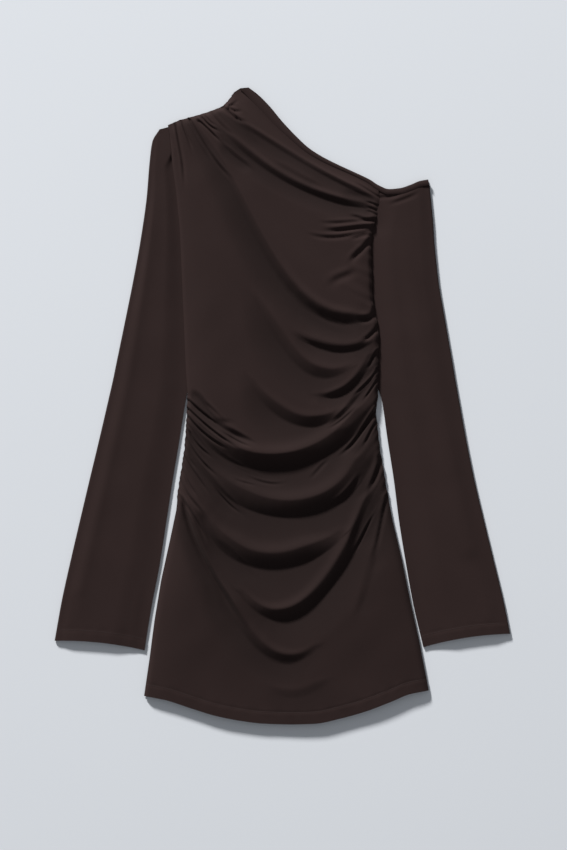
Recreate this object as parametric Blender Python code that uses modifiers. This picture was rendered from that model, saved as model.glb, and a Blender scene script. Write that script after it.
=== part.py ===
"""Ruched mini dress laid flat: front and back panels, two long sleeves, neckline band.

The dress lies on its back in the XY plane, hem towards -Y, and +Z leads up out of the cloth.
Tables are in millimetres in the dress's own frame. A panel is a grid whose rows run from the
left edge over a belly point to the right edge, so its rows follow the main folds.
"""

import math

import bpy
import numpy as np

MM = 0.001

# The photo: its scale, and the pixel that falls on the dress's origin
MM_PER_PIXEL = 1.27
ORIGIN_PIXEL = (282.4, 405.85)

# Cloth and stacking heights (mm)
CLOTH = 1.2
SEAM_GAP = 0.3
BACK_SEAM_GAP = 0.95
BAND_THICK = 2.0
BAND_BACK_THICK = 2.4
BAND_CROWN = 0.7
BAND_TOP = 5.5
SIDE_TOP = 2.8
ARMHOLE_TOP = 4.3
NECK_TOP = 4.7
FLOOR_TOP = 4.2
LAP = 4.0
BACK_INSET = 0.6

# Front panel grid
PANEL_COLUMNS = 19
BACK_COLUMNS = 9
BACK_ROW_STEP = 3
EDGE_BLEND = 18.0
UNDERARM_Y = 11.0
SHOULDER_CORNER_Y = 356.0
NECK_CORNER_X = 122.0

# Left edge of the front panel: shoulder seam, armhole, side seam
LEFT_EDGE = (  # x, y
    (-55.5, 401.6), (-61.5, 397.8), (-65.3, 391.0), (-74.2, 380.8), (-85.6, 375.7),
    (-104.6, 369.4), (-130.0, 362.4), (-145.3, 356.0), (-142.7, 344.0), (-140.2, 312.2),
    (-135.1, 274.1), (-130.0, 223.3), (-126.2, 134.4), (-122.4, 45.5), (-120.1, 11.2),
    (-120.8, -7.8), (-122.0, -30.7), (-124.0, -56.1), (-127.9, -81.5), (-132.0, -106.9),
    (-134.7, -132.3), (-142.7, -170.4), (-153.9, -221.2), (-162.3, -272.0), (-168.9, -322.8),
    (-175.5, -367.9),
)

# Right edge: armhole seam of the off-shoulder sleeve, then the side seam
RIGHT_EDGE = (  # x, y
    (122.0, 274.1), (122.4, 257.0), (119.0, 242.0), (114.4, 226.0), (111.8, 204.3), (113.8, 134.4),
    (121.4, 96.3), (120.8, 13.8), (118.2, -5.3), (121.4, -40.8), (125.2, -65.0),
    (130.8, -99.3), (139.8, -145.0), (151.9, -195.8), (162.1, -246.6), (173.5, -297.4),
    (185.7, -360.9),
)

HEM = (  # x, y
    (-175.5, -367.9), (-149.1, -372.7), (-117.3, -382.8), (-85.6, -392.6), (-53.8, -399.0),
    (-22.1, -402.8), (9.7, -403.7), (41.4, -402.8), (73.2, -396.4), (104.9, -387.5),
    (136.7, -375.5), (162.1, -365.3), (185.7, -360.9),
)

# Neckline band, from the shoulder point to the sleeve's outer corner: its outer and inner line
NECKLINE = (  # outer x, outer y, inner x, inner y
    (-42.9, 403.7, -54.2, 402.6), (-31.1, 394.8, -38.6, 386.5), (-17.0, 380.8, -25.4, 373.1),
    (-0.1, 360.5, -7.1, 354.0), (16.6, 342.7, 11.3, 337.2), (32.9, 327.5, 29.1, 322.4),
    (48.3, 317.3, 45.5, 312.3), (67.9, 307.1, 65.6, 302.5), (89.7, 297.0, 87.7, 292.9),
    (111.1, 286.8, 108.7, 282.3), (122.0, 279.8, 119.4, 274.7), (135.4, 274.9, 134.5, 268.0),
    (149.4, 276.2, 150.8, 268.7), (162.1, 280.2, 164.7, 273.0), (174.8, 285.3, 177.0, 278.0),
    (185.2, 287.1, 186.6, 279.6),
)

# Guide rows of the panels: where a row meets each edge, its belly point, grid rows to the next
GUIDE_ROWS = (  # name, left y, belly x, belly y, right y, rows
    ("neckline", 401.6, 22.4, 328.7, 274.1, 4),
    ("first crease", 385.9, 13.5, 318.4, 264.5, 6),
    ("second crease", 371.3, 0.8, 284.3, 248.7, 24),
    ("long valley", 361.8, -13.2, 195.4, 111.6, 6),
    ("shoulder corner", 356.0, -15.7, 111.6, 83.6, 5),
    ("upper torso", 274.1, -13.2, 70.9, 68.4, 5),
    ("torso", 172.5, -8.1, 22.7, 50.6, 6),
    ("lower torso", 77.3, -5.6, -23.1, 32.8, 6),
    ("underarm", 11.2, -4.3, -58.6, 12.5, 7),
    ("waist fold", -7.8, -3.0, -86.6, -4.0, 13),
    ("hip fold", -43.4, -0.5, -143.7, -62.4, 13),
    ("skirt fold", -78.9, 0.8, -211.0, -109.4, 13),
    ("lower fold", -119.6, 2.0, -272.0, -157.7, 8),
    ("last fold", -195.8, 0.8, -322.8, -233.9, 7),
    ("hem", -367.9, 5.8, -403.7, -360.9, 0),
)

# How far the cloth stands above its edges down the middle of the panel
LOFT = (  # y, loft
    (405.0, 1.2), (330.0, 2.2), (270.0, 4.0), (180.0, 5.5), (90.0, 6.5), (0.0, 7.5),
    (-70.0, 9.0), (-200.0, 9.0), (-290.0, 6.0), (-350.0, 3.6), (-405.0, 3.2),
)

# Folds: four points of the valley from left to right, read by eye off the photo in pixels, then
# in mm the distance up to the ridge, the share of the height that the valley takes away, and
# the ridge's own lift
FOLDS = (  # px0, py0, px1, py1, px2, py2, px3, py3, width, depth, lift
    (216, 112, 262, 139, 345, 187, 374, 200, 5.5, 0.35, 0.9),
    (235, 120, 244, 131, 254, 141, 263, 148, 5.1, 0.25, 0.3),
    (220, 128, 252, 160, 310, 194, 375, 210, 11.4, 0.75, 1.8),
    (275, 163, 290, 172, 306, 181, 323, 188, 5.1, 0.20, 0.3),
    (355, 188, 362, 192, 369, 196, 375, 200, 5.1, 0.35, 0.3),
    (222, 143, 233, 155, 243, 163, 253, 170, 6.3, 0.30, 0.4),
    (350, 216, 357, 217, 363, 218, 370, 218, 5.1, 0.35, 0.3),
    (327, 225, 342, 228, 356, 229, 370, 228, 6.3, 0.40, 0.4),
    (307, 232, 328, 238, 348, 240, 368, 237, 6.3, 0.40, 0.4),
    (350, 267, 352, 258, 359, 248, 368, 239, 5.1, 0.40, 0.3),
    (337, 277, 342, 277, 348, 275, 353, 272, 5.1, 0.30, 0.3),
    (188, 124, 240, 208, 330, 320, 374, 320, 12.0, 0.80, 1.6),
    (352, 315, 360, 319, 368, 319, 376, 309, 6.3, 0.50, 0.4),
    (358, 344, 364, 341, 370, 336, 378, 328, 6.3, 0.50, 0.3),
    (296, 336, 318, 347, 348, 351, 372, 343, 9.0, 0.60, 0.9),
    (255, 300, 285, 352, 315, 377, 350, 369, 14.0, 0.65, 1.0),
    (318, 396, 338, 396, 358, 382, 376, 353, 9.0, 0.55, 0.7),
    (330, 424, 348, 404, 361, 391, 373, 380, 6.3, 0.35, 0.3),
    (252, 384, 275, 414, 306, 427, 340, 413, 14.0, 0.62, 0.9),
    (191, 393, 206, 406, 216, 418, 230, 422, 6.3, 0.40, 0.5),
    (190, 402, 208, 418, 226, 430, 252, 440, 6.3, 0.45, 0.5),
    (189, 414, 245, 467, 316, 461, 375, 404, 20.0, 0.85, 2.4),
    (188, 426, 208, 450, 240, 470, 268, 480, 7.6, 0.40, 0.5),
    (187, 442, 206, 466, 234, 481, 264, 486, 7.6, 0.40, 0.5),
    (205, 470, 255, 512, 328, 509, 375, 448, 21.0, 0.85, 2.4),
    (185, 456, 200, 480, 216, 498, 236, 516, 7.6, 0.45, 0.5),
    (203, 519, 250, 566, 304, 563, 341, 538, 21.0, 0.80, 2.2),
    (240, 594, 282, 620, 346, 566, 377, 492, 16.0, 0.80, 1.9),
    (214, 580, 240, 628, 280, 662, 316, 648, 13.0, 0.60, 1.2),
    (184, 505, 200, 552, 222, 592, 246, 632, 8.9, 0.45, 0.6),
    (215, 540, 232, 556, 244, 566, 257, 577, 7.6, 0.25, 0.3),
    (270, 687, 290, 697, 312, 692, 330, 680, 10.2, 0.20, 0.3),
    (360, 558, 366, 540, 376, 516, 385, 492, 7.6, 0.40, 0.3),
    (365, 622, 368, 595, 375, 565, 380, 540, 7.6, 0.30, 0.3),
)

# Gathers: a run of small pleats along one edge, top and bottom y of the run on that edge
GATHERS = (  # side, top y, bottom y, count, height, length
    ("left", 394.0, 359.0, 13, 0.8, 34.0),
    ("left", 12.0, -120.0, 16, 1.1, 26.0),
    ("right", 264.0, 118.0, 10, 1.0, 22.0),
    ("right", 112.0, -120.0, 15, 1.1, 22.0),
)
GATHER_PULL = 0.7
GOLDEN = 0.618034

# Sleeves: stations from the shoulder to the cuff, outer fold and inner edge of the tube
LEFT_SLEEVE = (  # outer x, outer y, inner x, inner y, loft, bow
    (-156.3, 350.6, -141.3, 354.6, 3.6, 0.0), (-165.1, 335.1, -138.6, 337.6, 3.9, 0.0),
    (-168.8, 307.1, -136.1, 309.7, 4.2, 0.0), (-172.1, 266.5, -130.7, 269.0, 4.6, 0.0),
    (-180.0, 210.6, -125.6, 213.2, 5.0, 0.0), (-189.2, 159.8, -123.2, 159.8, 5.2, 0.0),
    (-199.4, 109.0, -121.0, 106.5, 5.2, 0.0), (-209.9, 58.2, -118.9, 55.7, 5.2, 0.0),
    (-215.1, 32.8, -118.9, 33.0, 5.2, 0.0), (-220.9, 7.4, -122.7, 7.4, 5.2, 0.0),
    (-232.7, -43.4, -130.9, -44.6, 5.2, 0.0), (-244.9, -94.2, -139.6, -96.7, 5.2, 0.5),
    (-256.9, -145.0, -147.8, -150.1, 5.2, 1.0), (-268.7, -195.8, -156.1, -203.4, 5.2, 2.0),
    (-279.9, -246.6, -166.2, -255.5, 5.2, 3.0), (-289.1, -298.1, -175.0, -310.3, 5.4, 4.0),
)

RIGHT_SLEEVE = (  # outer x, outer y, inner x, inner y, loft, bow
    (186.9, 279.3, 118.4, 274.9, 4.6, 0.0), (189.2, 256.3, 118.4, 253.8, 4.8, 0.0),
    (191.6, 230.9, 110.0, 228.4, 5.0, 0.0), (192.8, 210.6, 107.2, 208.1, 5.2, 0.0),
    (198.0, 159.8, 109.0, 159.8, 5.2, 0.0), (206.5, 109.0, 114.4, 109.0, 5.2, 0.0),
    (215.4, 58.2, 117.0, 58.2, 5.2, 0.0), (219.6, 32.8, 118.0, 34.1, 5.2, 0.0),
    (224.2, 7.4, 126.1, 7.4, 5.2, 0.0), (233.4, -43.4, 133.6, -43.4, 5.2, 0.0),
    (243.8, -94.2, 141.5, -94.2, 5.2, 0.0), (255.8, -145.0, 148.1, -146.2, 5.2, 1.0),
    (268.2, -195.8, 156.5, -198.3, 5.2, 2.0), (280.5, -246.6, 166.1, -251.7, 5.2, 3.0),
    (289.1, -289.2, 178.9, -306.3, 5.4, 4.0),
)
SLEEVE_ROWS = 26
FOLD_RADIUS = 1.8
FOLD_STEPS = 5
LAYER_STEPS = 9
BACK_LAYER_STEPS = 5
LAYER_EDGE_TOP = 2.7

# Soft folds down the sleeves: start, middle and end, half width and height
SLEEVE_FOLDS = (  # x0, y0, x1, y1, x2, y2, half width, height
    (-160.0, 300.0, -196.0, 60.0, -262.0, -230.0, 11.0, 1.2),
    (-176.0, -215.0, -184.0, -262.0, -190.0, -309.0, 6.0, 1.0),
    (-268.0, -230.0, -272.0, -262.0, -276.0, -300.0, 6.0, 0.8),
    (150.0, 250.0, 182.0, 60.0, 236.0, -180.0, 13.0, 1.0),
    (174.0, -206.0, 181.0, -256.0, 190.0, -302.0, 6.0, 1.1),
)


def clear_scene():
    """Remove every object of the scene."""
    for obj in list(bpy.data.objects):
        bpy.data.objects.remove(obj, do_unlink=True)


def from_photo(points):
    """Places in mm, in the dress's frame, of points read off the photo in pixels."""
    return (np.asarray(points, dtype=float) - ORIGIN_PIXEL) * (MM_PER_PIXEL, -MM_PER_PIXEL)


def smooth_table(keys, values, at):
    """Interpolate values over keys with a smooth curve that never overshoots the table.

    Args:
        keys: rising positions of the table's rows.
        values: one value per row.
        at: positions to evaluate.
    """
    keys = np.asarray(keys, dtype=float)
    values = np.asarray(values, dtype=float)
    step = np.diff(keys)
    slope = np.diff(values) / step
    tangent = np.zeros(len(keys))
    same = slope[:-1] * slope[1:] > 0.0
    weight_a = 2.0 * step[1:] + step[:-1]
    weight_b = step[1:] + 2.0 * step[:-1]
    safe_a = np.where(same, slope[:-1], 1.0)
    safe_b = np.where(same, slope[1:], 1.0)
    mean = (weight_a + weight_b) / (weight_a / safe_a + weight_b / safe_b)
    tangent[1:-1] = np.where(same, mean, 0.0)
    tangent[0] = slope[0]
    tangent[-1] = slope[-1]
    at = np.clip(np.asarray(at, dtype=float), keys[0], keys[-1])
    index = np.clip(np.searchsorted(keys, at, side="right") - 1, 0, len(step) - 1)
    t = (at - keys[index]) / step[index]
    start = values[index] * (2.0 * t ** 3 - 3.0 * t ** 2 + 1.0)
    end = values[index + 1] * (3.0 * t ** 2 - 2.0 * t ** 3)
    turn = tangent[index] * (t ** 3 - 2.0 * t ** 2 + t) + tangent[index + 1] * (t ** 3 - t ** 2)
    return start + end + step[index] * turn


def smooth_step(value):
    """Ease from 0 to 1 as value goes from 0 to 1."""
    value = np.clip(value, 0.0, 1.0)
    return value * value * (3.0 - 2.0 * value)


def edge_x(table, y):
    """X of an edge table, whose rows go down in y, at each y."""
    rows = np.array(table)
    return np.interp(-np.asarray(y), -rows[:, 1], rows[:, 0])


def resample(points, count):
    """Points spaced evenly by length along a polyline."""
    points = np.asarray(points, dtype=float)
    steps = np.hypot(np.diff(points[:, 0]), np.diff(points[:, 1]))
    length = np.concatenate(([0.0], np.cumsum(steps)))
    at = np.linspace(0.0, length[-1], count)
    return np.stack([np.interp(at, length, points[:, axis]) for axis in (0, 1)], axis=1)


def offset_line(points, distance):
    """Move a polyline to its right-hand side by a distance per point."""
    tangent = np.gradient(points, axis=0)
    tangent /= np.linalg.norm(tangent, axis=1)[:, None]
    normal = np.stack([tangent[:, 1], -tangent[:, 0]], axis=1)
    return points + normal * np.asarray(distance).reshape(-1, 1)


def neckline_at(x):
    """Outer line, inner line and seam line of the neckline band where the seam meets each x.

    The seam line is the edge of the panels and the sleeve, one seam gap inside the band.
    """
    table = np.array(NECKLINE)
    keys = np.arange(len(table), dtype=float)
    at = np.linspace(0.0, keys[-1], 600)
    columns = [smooth_table(keys, table[:, axis], at) for axis in range(4)]
    outer = np.stack(columns[:2], axis=1)
    inner = np.stack(columns[2:], axis=1)
    seam = offset_line(inner, np.full(len(at), SEAM_GAP))
    return [
        np.stack([np.interp(x, seam[:, 0], line[:, axis]) for axis in (0, 1)], axis=1)
        for line in (outer, inner, seam)
    ]


def neck_stations(column, end_x):
    """X of the seam line at each grid column of a panel whose top right corner is at end_x."""
    dense = np.linspace(NECKLINE[0][2], end_x, 400)
    line = neckline_at(dense)[2]
    steps = np.hypot(np.diff(line[:, 0]), np.diff(line[:, 1]))
    length = np.concatenate(([0.0], np.cumsum(steps)))
    return np.interp(np.asarray(column) * length[-1], length, line[:, 0])


def panel_plan(column, row_step, inset_left, inset_right):
    """Plan positions of a panel's grid.

    Args:
        column: parameters from 0 at the left edge to 1 at the right edge.
        row_step: how many guide subdivisions one grid row spans.
        inset_left: function of y giving how far in the left edge lies.
        inset_right: function of y giving how far in the right edge lies.

    Returns:
        x, y, and the y at which each row meets its left and its right edge.
    """
    counts = [row[5] for row in GUIDE_ROWS]
    keys = np.concatenate(([0.0], np.cumsum(counts[:-1])))
    rows = int(round(keys[-1] / row_step))
    at = np.linspace(0.0, keys[-1], rows + 1)
    left_y = smooth_table(keys, [row[1] for row in GUIDE_ROWS], at)
    belly_x = smooth_table(keys, [row[2] for row in GUIDE_ROWS], at)
    belly_y = smooth_table(keys, [row[3] for row in GUIDE_ROWS], at)
    right_y = smooth_table(keys, [row[4] for row in GUIDE_ROWS], at)
    left_x = edge_x(LEFT_EDGE, left_y) + inset_left(left_y)
    right_x = edge_x(RIGHT_EDGE, right_y) - inset_right(right_y)
    u = np.asarray(column)[None, :]
    from_left = (1.0 - u) * (1.0 - 2.0 * u)
    from_belly = 4.0 * u * (1.0 - u)
    from_right = u * (2.0 * u - 1.0)
    x = from_left * left_x[:, None] + from_belly * belly_x[:, None] + from_right * right_x[:, None]
    y = from_left * left_y[:, None] + from_belly * belly_y[:, None] + from_right * right_y[:, None]
    neck = neckline_at(neck_stations(u[0], right_x[0]))[2]
    fade = 1.0 - smooth_step(at / EDGE_BLEND)[:, None]
    x += (neck[:, 0] - x[0])[None, :] * fade
    y += (neck[:, 1] - y[0])[None, :] * fade
    hem = resample(HEM, 60)
    share = np.linspace(0.0, 1.0, len(hem))
    fade = smooth_step((at - keys[-1] + EDGE_BLEND) / EDGE_BLEND)[:, None]
    x += (np.interp(u[0], share, hem[:, 0]) - x[-1])[None, :] * fade
    y += (np.interp(u[0], share, hem[:, 1]) - y[-1])[None, :] * fade
    x[1:-1, 0] = edge_x(LEFT_EDGE, y[1:-1, 0]) + inset_left(y[1:-1, 0])
    x[1:-1, -1] = edge_x(RIGHT_EDGE, y[1:-1, -1]) - inset_right(y[1:-1, -1])
    return x, y, left_y, right_y


def fold_line(fold, count):
    """A smooth line through the four points of a fold's valley."""
    points = from_photo(np.reshape(fold[:8], (4, 2)))
    chord = np.concatenate(([0.0], np.cumsum(np.hypot(*np.diff(points, axis=0).T))))
    at = np.linspace(0.0, chord[-1], count)
    line = np.zeros((count, 2))
    for i in range(4):
        weight = np.ones(count)
        for j in range(4):
            if j != i:
                weight *= (at - chord[j]) / (chord[i] - chord[j])
        line += weight[:, None] * points[i]
    return line


def signed_distance(line, x, y):
    """Distance of each (x, y) from a line, positive on its upper (left-hand) side.

    Returns:
        The signed distance and the share of the line's length at the nearest point.
    """
    start = line[:-1]
    span = np.diff(line, axis=0)
    length = np.maximum(np.hypot(span[:, 0], span[:, 1]), 1e-9)
    best = np.full(x.shape, np.inf)
    side = np.zeros(x.shape)
    share = np.zeros(x.shape)
    for i in range(len(span)):
        dx = x - start[i, 0]
        dy = y - start[i, 1]
        along = np.clip((dx * span[i, 0] + dy * span[i, 1]) / length[i] ** 2, 0.0, 1.0)
        away = np.hypot(dx - along * span[i, 0], dy - along * span[i, 1])
        cross = span[i, 0] * dy - span[i, 1] * dx
        nearer = away < best
        best = np.where(nearer, away, best)
        side = np.where(nearer, np.sign(cross), side)
        share = np.where(nearer, (i + along) / len(span), share)
    return best * side, share


def fold_field(x, y):
    """Share of the cloth's height that the valleys leave, and the ridges' lift in mm."""
    left = np.ones(x.shape)
    lift = np.zeros(x.shape)
    for fold in FOLDS:
        width, depth, rise = fold[8:]
        away, share = signed_distance(fold_line(fold, 14), x, y)
        fade = np.sqrt(np.clip(np.sin(math.pi * np.clip(share, 0.02, 0.98)), 0.0, 1.0))
        upper = 1.0 - smooth_step(away / width)
        lower = 1.0 - smooth_step(-away / (1.7 * width))
        trough = np.where(away >= 0.0, upper, lower)
        left *= 1.0 - depth * fade * trough
        ridge = np.exp(-((away - 1.15 * width) / (0.55 * width)) ** 2)
        lift += rise * fade * ridge
    return left, lift


def gather_field(x, left_y, right_y):
    """Height of the small pleats along the edges and how far they pull the edge in, in mm."""
    height = np.zeros(x.shape)
    pull = np.zeros((2, len(left_y)))
    for side, top, bottom, count, rise, reach in GATHERS:
        edge = (left_y if side == "left" else right_y)[:, None]
        inner = np.abs(x - (x[:, :1] if side == "left" else x[:, -1:]))
        pitch = (top - bottom) / count
        for i in range(count):
            wander = (i * GOLDEN) % 1.0
            centre = top - pitch * (i + 0.3 + 0.4 * wander)
            across = np.exp(-((edge - centre) / (0.36 * pitch)) ** 2)
            along = np.exp(-(inner / (reach * (0.6 + 0.8 * wander))) ** 2)
            height += rise * (0.7 + 0.6 * wander) * across * along
            pull[0 if side == "left" else 1] -= GATHER_PULL * across[:, 0]
    return height, pull


def panel_height(x, y, left_y, right_y, column):
    """Height of the front panel's outer face, from its edges, loft, folds and gathers."""
    u = np.asarray(column)[None, :]
    below = smooth_step((UNDERARM_Y - np.stack([left_y, right_y])) / 60.0 + 0.4)
    shoulder = smooth_step((left_y - SHOULDER_CORNER_Y) / 14.0)
    edge_left = ARMHOLE_TOP + (SIDE_TOP - ARMHOLE_TOP) * np.maximum(below[0], shoulder)
    edge_right = ARMHOLE_TOP + (SIDE_TOP - ARMHOLE_TOP) * below[1]
    edge = edge_left[:, None] * (1.0 - u) + edge_right[:, None] * u
    inside = 1.0 - np.abs(2.0 * u - 1.0) ** 6
    table = np.array(LOFT)[::-1]
    loft = smooth_table(table[:, 0], table[:, 1], y)
    floor = edge + (FLOOR_TOP - edge) * inside
    left, lift = fold_field(x, y)
    gathers = gather_field(x, left_y, right_y)[0]
    rim = 1.0 - np.abs(2.0 * u - 1.0) ** 4
    z = floor + loft * inside * left + lift * rim + gathers * (0.35 + 0.65 * rim)
    from_neck = smooth_step(np.arange(len(left_y)) / 6.0)[:, None]
    neck = NECK_TOP + (SIDE_TOP - NECK_TOP) * np.exp(-(u / 0.06) ** 2)
    return neck * (1.0 - from_neck) + z * from_neck


def object_from_grid(name, x, y, z, thickness):
    """Build a grid object with its vertices moved to (x, y, z) and thickened to one solid.

    Args:
        name: object name.
        x: positions in mm, one row of the array per grid row.
        y: positions in mm.
        z: heights in mm.
        thickness: wall in mm, laid on the inner side of the given face.
    """
    rows, columns = x.shape
    bpy.ops.mesh.primitive_grid_add(x_subdivisions=columns - 1, y_subdivisions=rows - 1, size=2.0)
    obj = bpy.context.object
    obj.name = name
    obj.data.name = name
    points = np.stack([x, y, z], axis=-1)[::-1].reshape(-1, 3) * MM
    obj.data.vertices.foreach_set("co", points.ravel())
    obj.data.update()
    solid = obj.modifiers.new("cloth", "SOLIDIFY")
    solid.thickness = thickness * MM
    solid.offset = -1.0
    solid.use_rim = True
    return obj


def front_columns():
    """Column parameters of the front panel, closer together at its gathered edges."""
    share = np.linspace(0.0, 1.0, PANEL_COLUMNS + 1)
    return 0.72 * share + 0.28 * smooth_step(share)


def build_front_panel():
    """Front panel: one cloth face with its folds, gathered at both sides and the shoulder."""
    column = front_columns()
    flat = panel_plan(column, 1, np.zeros_like, np.zeros_like)
    pull = gather_field(flat[0], flat[2], flat[3])[1]
    guide_left = -flat[2]
    guide_right = -flat[3]
    x, y, left_y, right_y = panel_plan(
        column, 1,
        lambda level: np.interp(-level, guide_left, -pull[0]),
        lambda level: np.interp(-level, guide_right, -pull[1]),
    )
    z = panel_height(x, y, left_y, right_y, column)
    return object_from_grid("front_panel", x, y, z, CLOTH)


def back_inset(edge, stations, level):
    """How far a side edge of the back panel lies inside the front's, beside sleeve or free.

    Args:
        edge: the front panel's edge table.
        stations: table of the sleeve on that side.
        level: y of each grid row on that edge.
    """
    inner_x, inner_y = sleeve_axis(stations)[2:4]
    level = np.asarray(level)
    side = 1.0 if inner_x[0] < 0.0 else -1.0
    beside = np.interp(-level, -inner_y, side * inner_x) - side * edge_x(edge, level)
    outside = (level > inner_y[0] + 2.0) | (level < inner_y[-1])
    beside = np.where(outside, 0.0, beside + BACK_SEAM_GAP)
    return np.maximum(beside, BACK_INSET)


def back_columns():
    """Column parameters of the back panel."""
    return np.linspace(0.0, 1.0, BACK_COLUMNS + 1)


def build_back_panel():
    """Back panel: the flat face that the dress lies on."""
    column = back_columns()
    x, y, _, _ = panel_plan(
        column, BACK_ROW_STEP,
        lambda level: back_inset(LEFT_EDGE, LEFT_SLEEVE, level),
        lambda level: back_inset(RIGHT_EDGE, RIGHT_SLEEVE, level),
    )
    z = np.full(x.shape, CLOTH)
    return object_from_grid("back_panel", x, y, z, CLOTH)


def sleeve_fold_height(x, y):
    """Lift of the soft folds that run down the sleeves, in mm."""
    height = np.zeros(x.shape)
    for x0, y0, x1, y1, x2, y2, half, rise in SLEEVE_FOLDS:
        t = np.linspace(0.0, 1.0, 12)
        line = np.stack([
            (1.0 - t) * (1.0 - 2.0 * t) * x0 + 4.0 * t * (1.0 - t) * x1 + t * (2.0 * t - 1.0) * x2,
            (1.0 - t) * (1.0 - 2.0 * t) * y0 + 4.0 * t * (1.0 - t) * y1 + t * (2.0 * t - 1.0) * y2,
        ], axis=1)
        away, share = signed_distance(line, x, y)
        fade = np.where(share <= 0.0, 0.0, np.minimum(1.0, 4.0 * share))
        height += rise * fade * np.exp(-(away / half) ** 2)
    return height


def sleeve_axis(stations):
    """Columns of a sleeve's table at every grid row of the sleeve."""
    table = np.array(stations)
    keys = np.arange(len(table), dtype=float)
    at = np.linspace(0.0, keys[-1], SLEEVE_ROWS + 1)
    return [smooth_table(keys, table[:, i], at) for i in range(table.shape[1])]


def sleeve_shares(width):
    """Shares of the width, from the inner edge, of the points of each layer of a sleeve."""
    width = np.asarray(width, dtype=float).reshape(-1, 1)
    flat = 1.0 - FOLD_RADIUS / width
    lap = LAP / width
    back = lap + (flat - lap) * np.linspace(0.0, 1.0, BACK_LAYER_STEPS)[None, :]
    front = lap + (flat - lap) * np.linspace(0.0, 1.0, LAYER_STEPS)[None, :]
    none = np.zeros_like(lap)
    return np.concatenate([none, back], axis=1), np.concatenate([none, front], axis=1)


def build_sleeve(name, stations):
    """Sleeve: one strip folded along its outer edge, its two edges meeting at the inner side.

    Each row goes from the inner edge over the back layer, round the outer fold and back over
    the front layer, which stands up softly in the middle.

    Args:
        name: object name.
        stations: table from the shoulder to the cuff.
    """
    outer_x, outer_y, inner_x, inner_y, loft, bow = (
        values[:, None] for values in sleeve_axis(stations))
    width = np.hypot(outer_x - inner_x, outer_y - inner_y)
    back, front = sleeve_shares(width)
    angle = np.linspace(-0.5 * math.pi, 0.5 * math.pi, FOLD_STEPS + 1)[None, 1:-1]
    turn = 1.0 - FOLD_RADIUS * (1.0 - np.cos(angle)) / width
    share = np.concatenate([back, turn, front[:, ::-1]], axis=1)
    x = inner_x + (outer_x - inner_x) * share
    y = inner_y + (outer_y - inner_y) * share + bow * 4.0 * share * (1.0 - share)
    rise = smooth_step((share * width - LAP) / (0.35 * width))
    fall = smooth_step((1.0 - FOLD_RADIUS / width - share) / 0.22)
    top = LAYER_EDGE_TOP + (loft - LAYER_EDGE_TOP) * rise
    top = top * fall + 2.0 * FOLD_RADIUS * (1.0 - fall)
    top = top + sleeve_fold_height(x, y) * rise * fall
    first = back.shape[1]
    z = np.zeros(x.shape)
    z[:, first:first + FOLD_STEPS - 1] = FOLD_RADIUS * (1.0 + np.sin(angle))
    z[:, first + FOLD_STEPS - 1:] = top[:, first + FOLD_STEPS - 1:]
    if name == "sleeve_right":
        fade = 1.0 - smooth_step(np.arange(len(x)) / 5.0)[:, None]
        y = y + (neckline_at(x[0])[2][:, 1] - y[0])[None, :] * fade
        x, y, z = x[:, ::-1], y[:, ::-1], z[:, ::-1]
    return object_from_grid(name, x, y, z, CLOTH)


def build_band(name, columns, end_x, layer, top, thickness, crown):
    """Neckline band: a narrow turned edge along the neckline and the sleeve's open top.

    Its stations are those of the panel and of the sleeve's layer beside it, so that the seam
    gap is the same all along.

    Args:
        name: object name.
        columns: column parameters of the panel beside it.
        end_x: x of the panel's top right corner.
        layer: 0 to follow the sleeve's back layer, 1 to follow its front layer.
        top: height of its outer face along the middle.
        thickness: of the turned cloth.
        crown: how far the two edges lie below the middle.
    """
    outer_x, outer_y, inner_x, inner_y = RIGHT_SLEEVE[0][:4]
    width = math.hypot(outer_x - inner_x, outer_y - inner_y)
    share = sleeve_shares(width)[layer][0]
    sleeve_x = inner_x + (outer_x - inner_x) * share
    stations = np.concatenate([neck_stations(columns, end_x), sleeve_x[sleeve_x > end_x + 1.0]])
    outer, inner, _ = neckline_at(stations)
    across = np.array([1.0, 0.5, 0.0])
    x = inner[:, :1] * across + outer[:, :1] * (1.0 - across)
    y = inner[:, 1:] * across + outer[:, 1:] * (1.0 - across)
    z = np.broadcast_to(top - crown * (2.0 * across - 1.0) ** 2, x.shape)
    return object_from_grid(name, x, y, z, thickness)


def give_material(obj, colour, roughness):
    """Give an object a plain cloth material of its own."""
    material = bpy.data.materials.new(obj.name + "_cloth")
    material.use_nodes = True
    shader = material.node_tree.nodes["Principled BSDF"]
    shader.inputs["Base Color"].default_value = (*colour, 1.0)
    shader.inputs["Roughness"].default_value = roughness
    obj.data.materials.append(material)


def main():
    """Build the dress's cut pieces in one collection."""
    clear_scene()
    dress = bpy.data.collections.new("ruched_mini_dress")
    bpy.context.scene.collection.children.link(dress)
    corner_inset = back_inset(RIGHT_EDGE, RIGHT_SLEEVE, RIGHT_EDGE[0][1])
    pieces = [
        build_front_panel(),
        build_back_panel(),
        build_sleeve("sleeve_left", LEFT_SLEEVE),
        build_sleeve("sleeve_right", RIGHT_SLEEVE),
        build_band("neckband_front", front_columns(), NECK_CORNER_X, 1,
                   BAND_TOP, BAND_THICK, BAND_CROWN),
        build_band("neckband_back", back_columns(), NECK_CORNER_X - float(corner_inset), 0,
                   BAND_BACK_THICK, BAND_BACK_THICK, 0.0),
    ]
    for obj in pieces:
        for collection in list(obj.users_collection):
            collection.objects.unlink(obj)
        dress.objects.link(obj)
        give_material(obj, (0.020, 0.014, 0.013), 0.85)


main()
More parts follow.
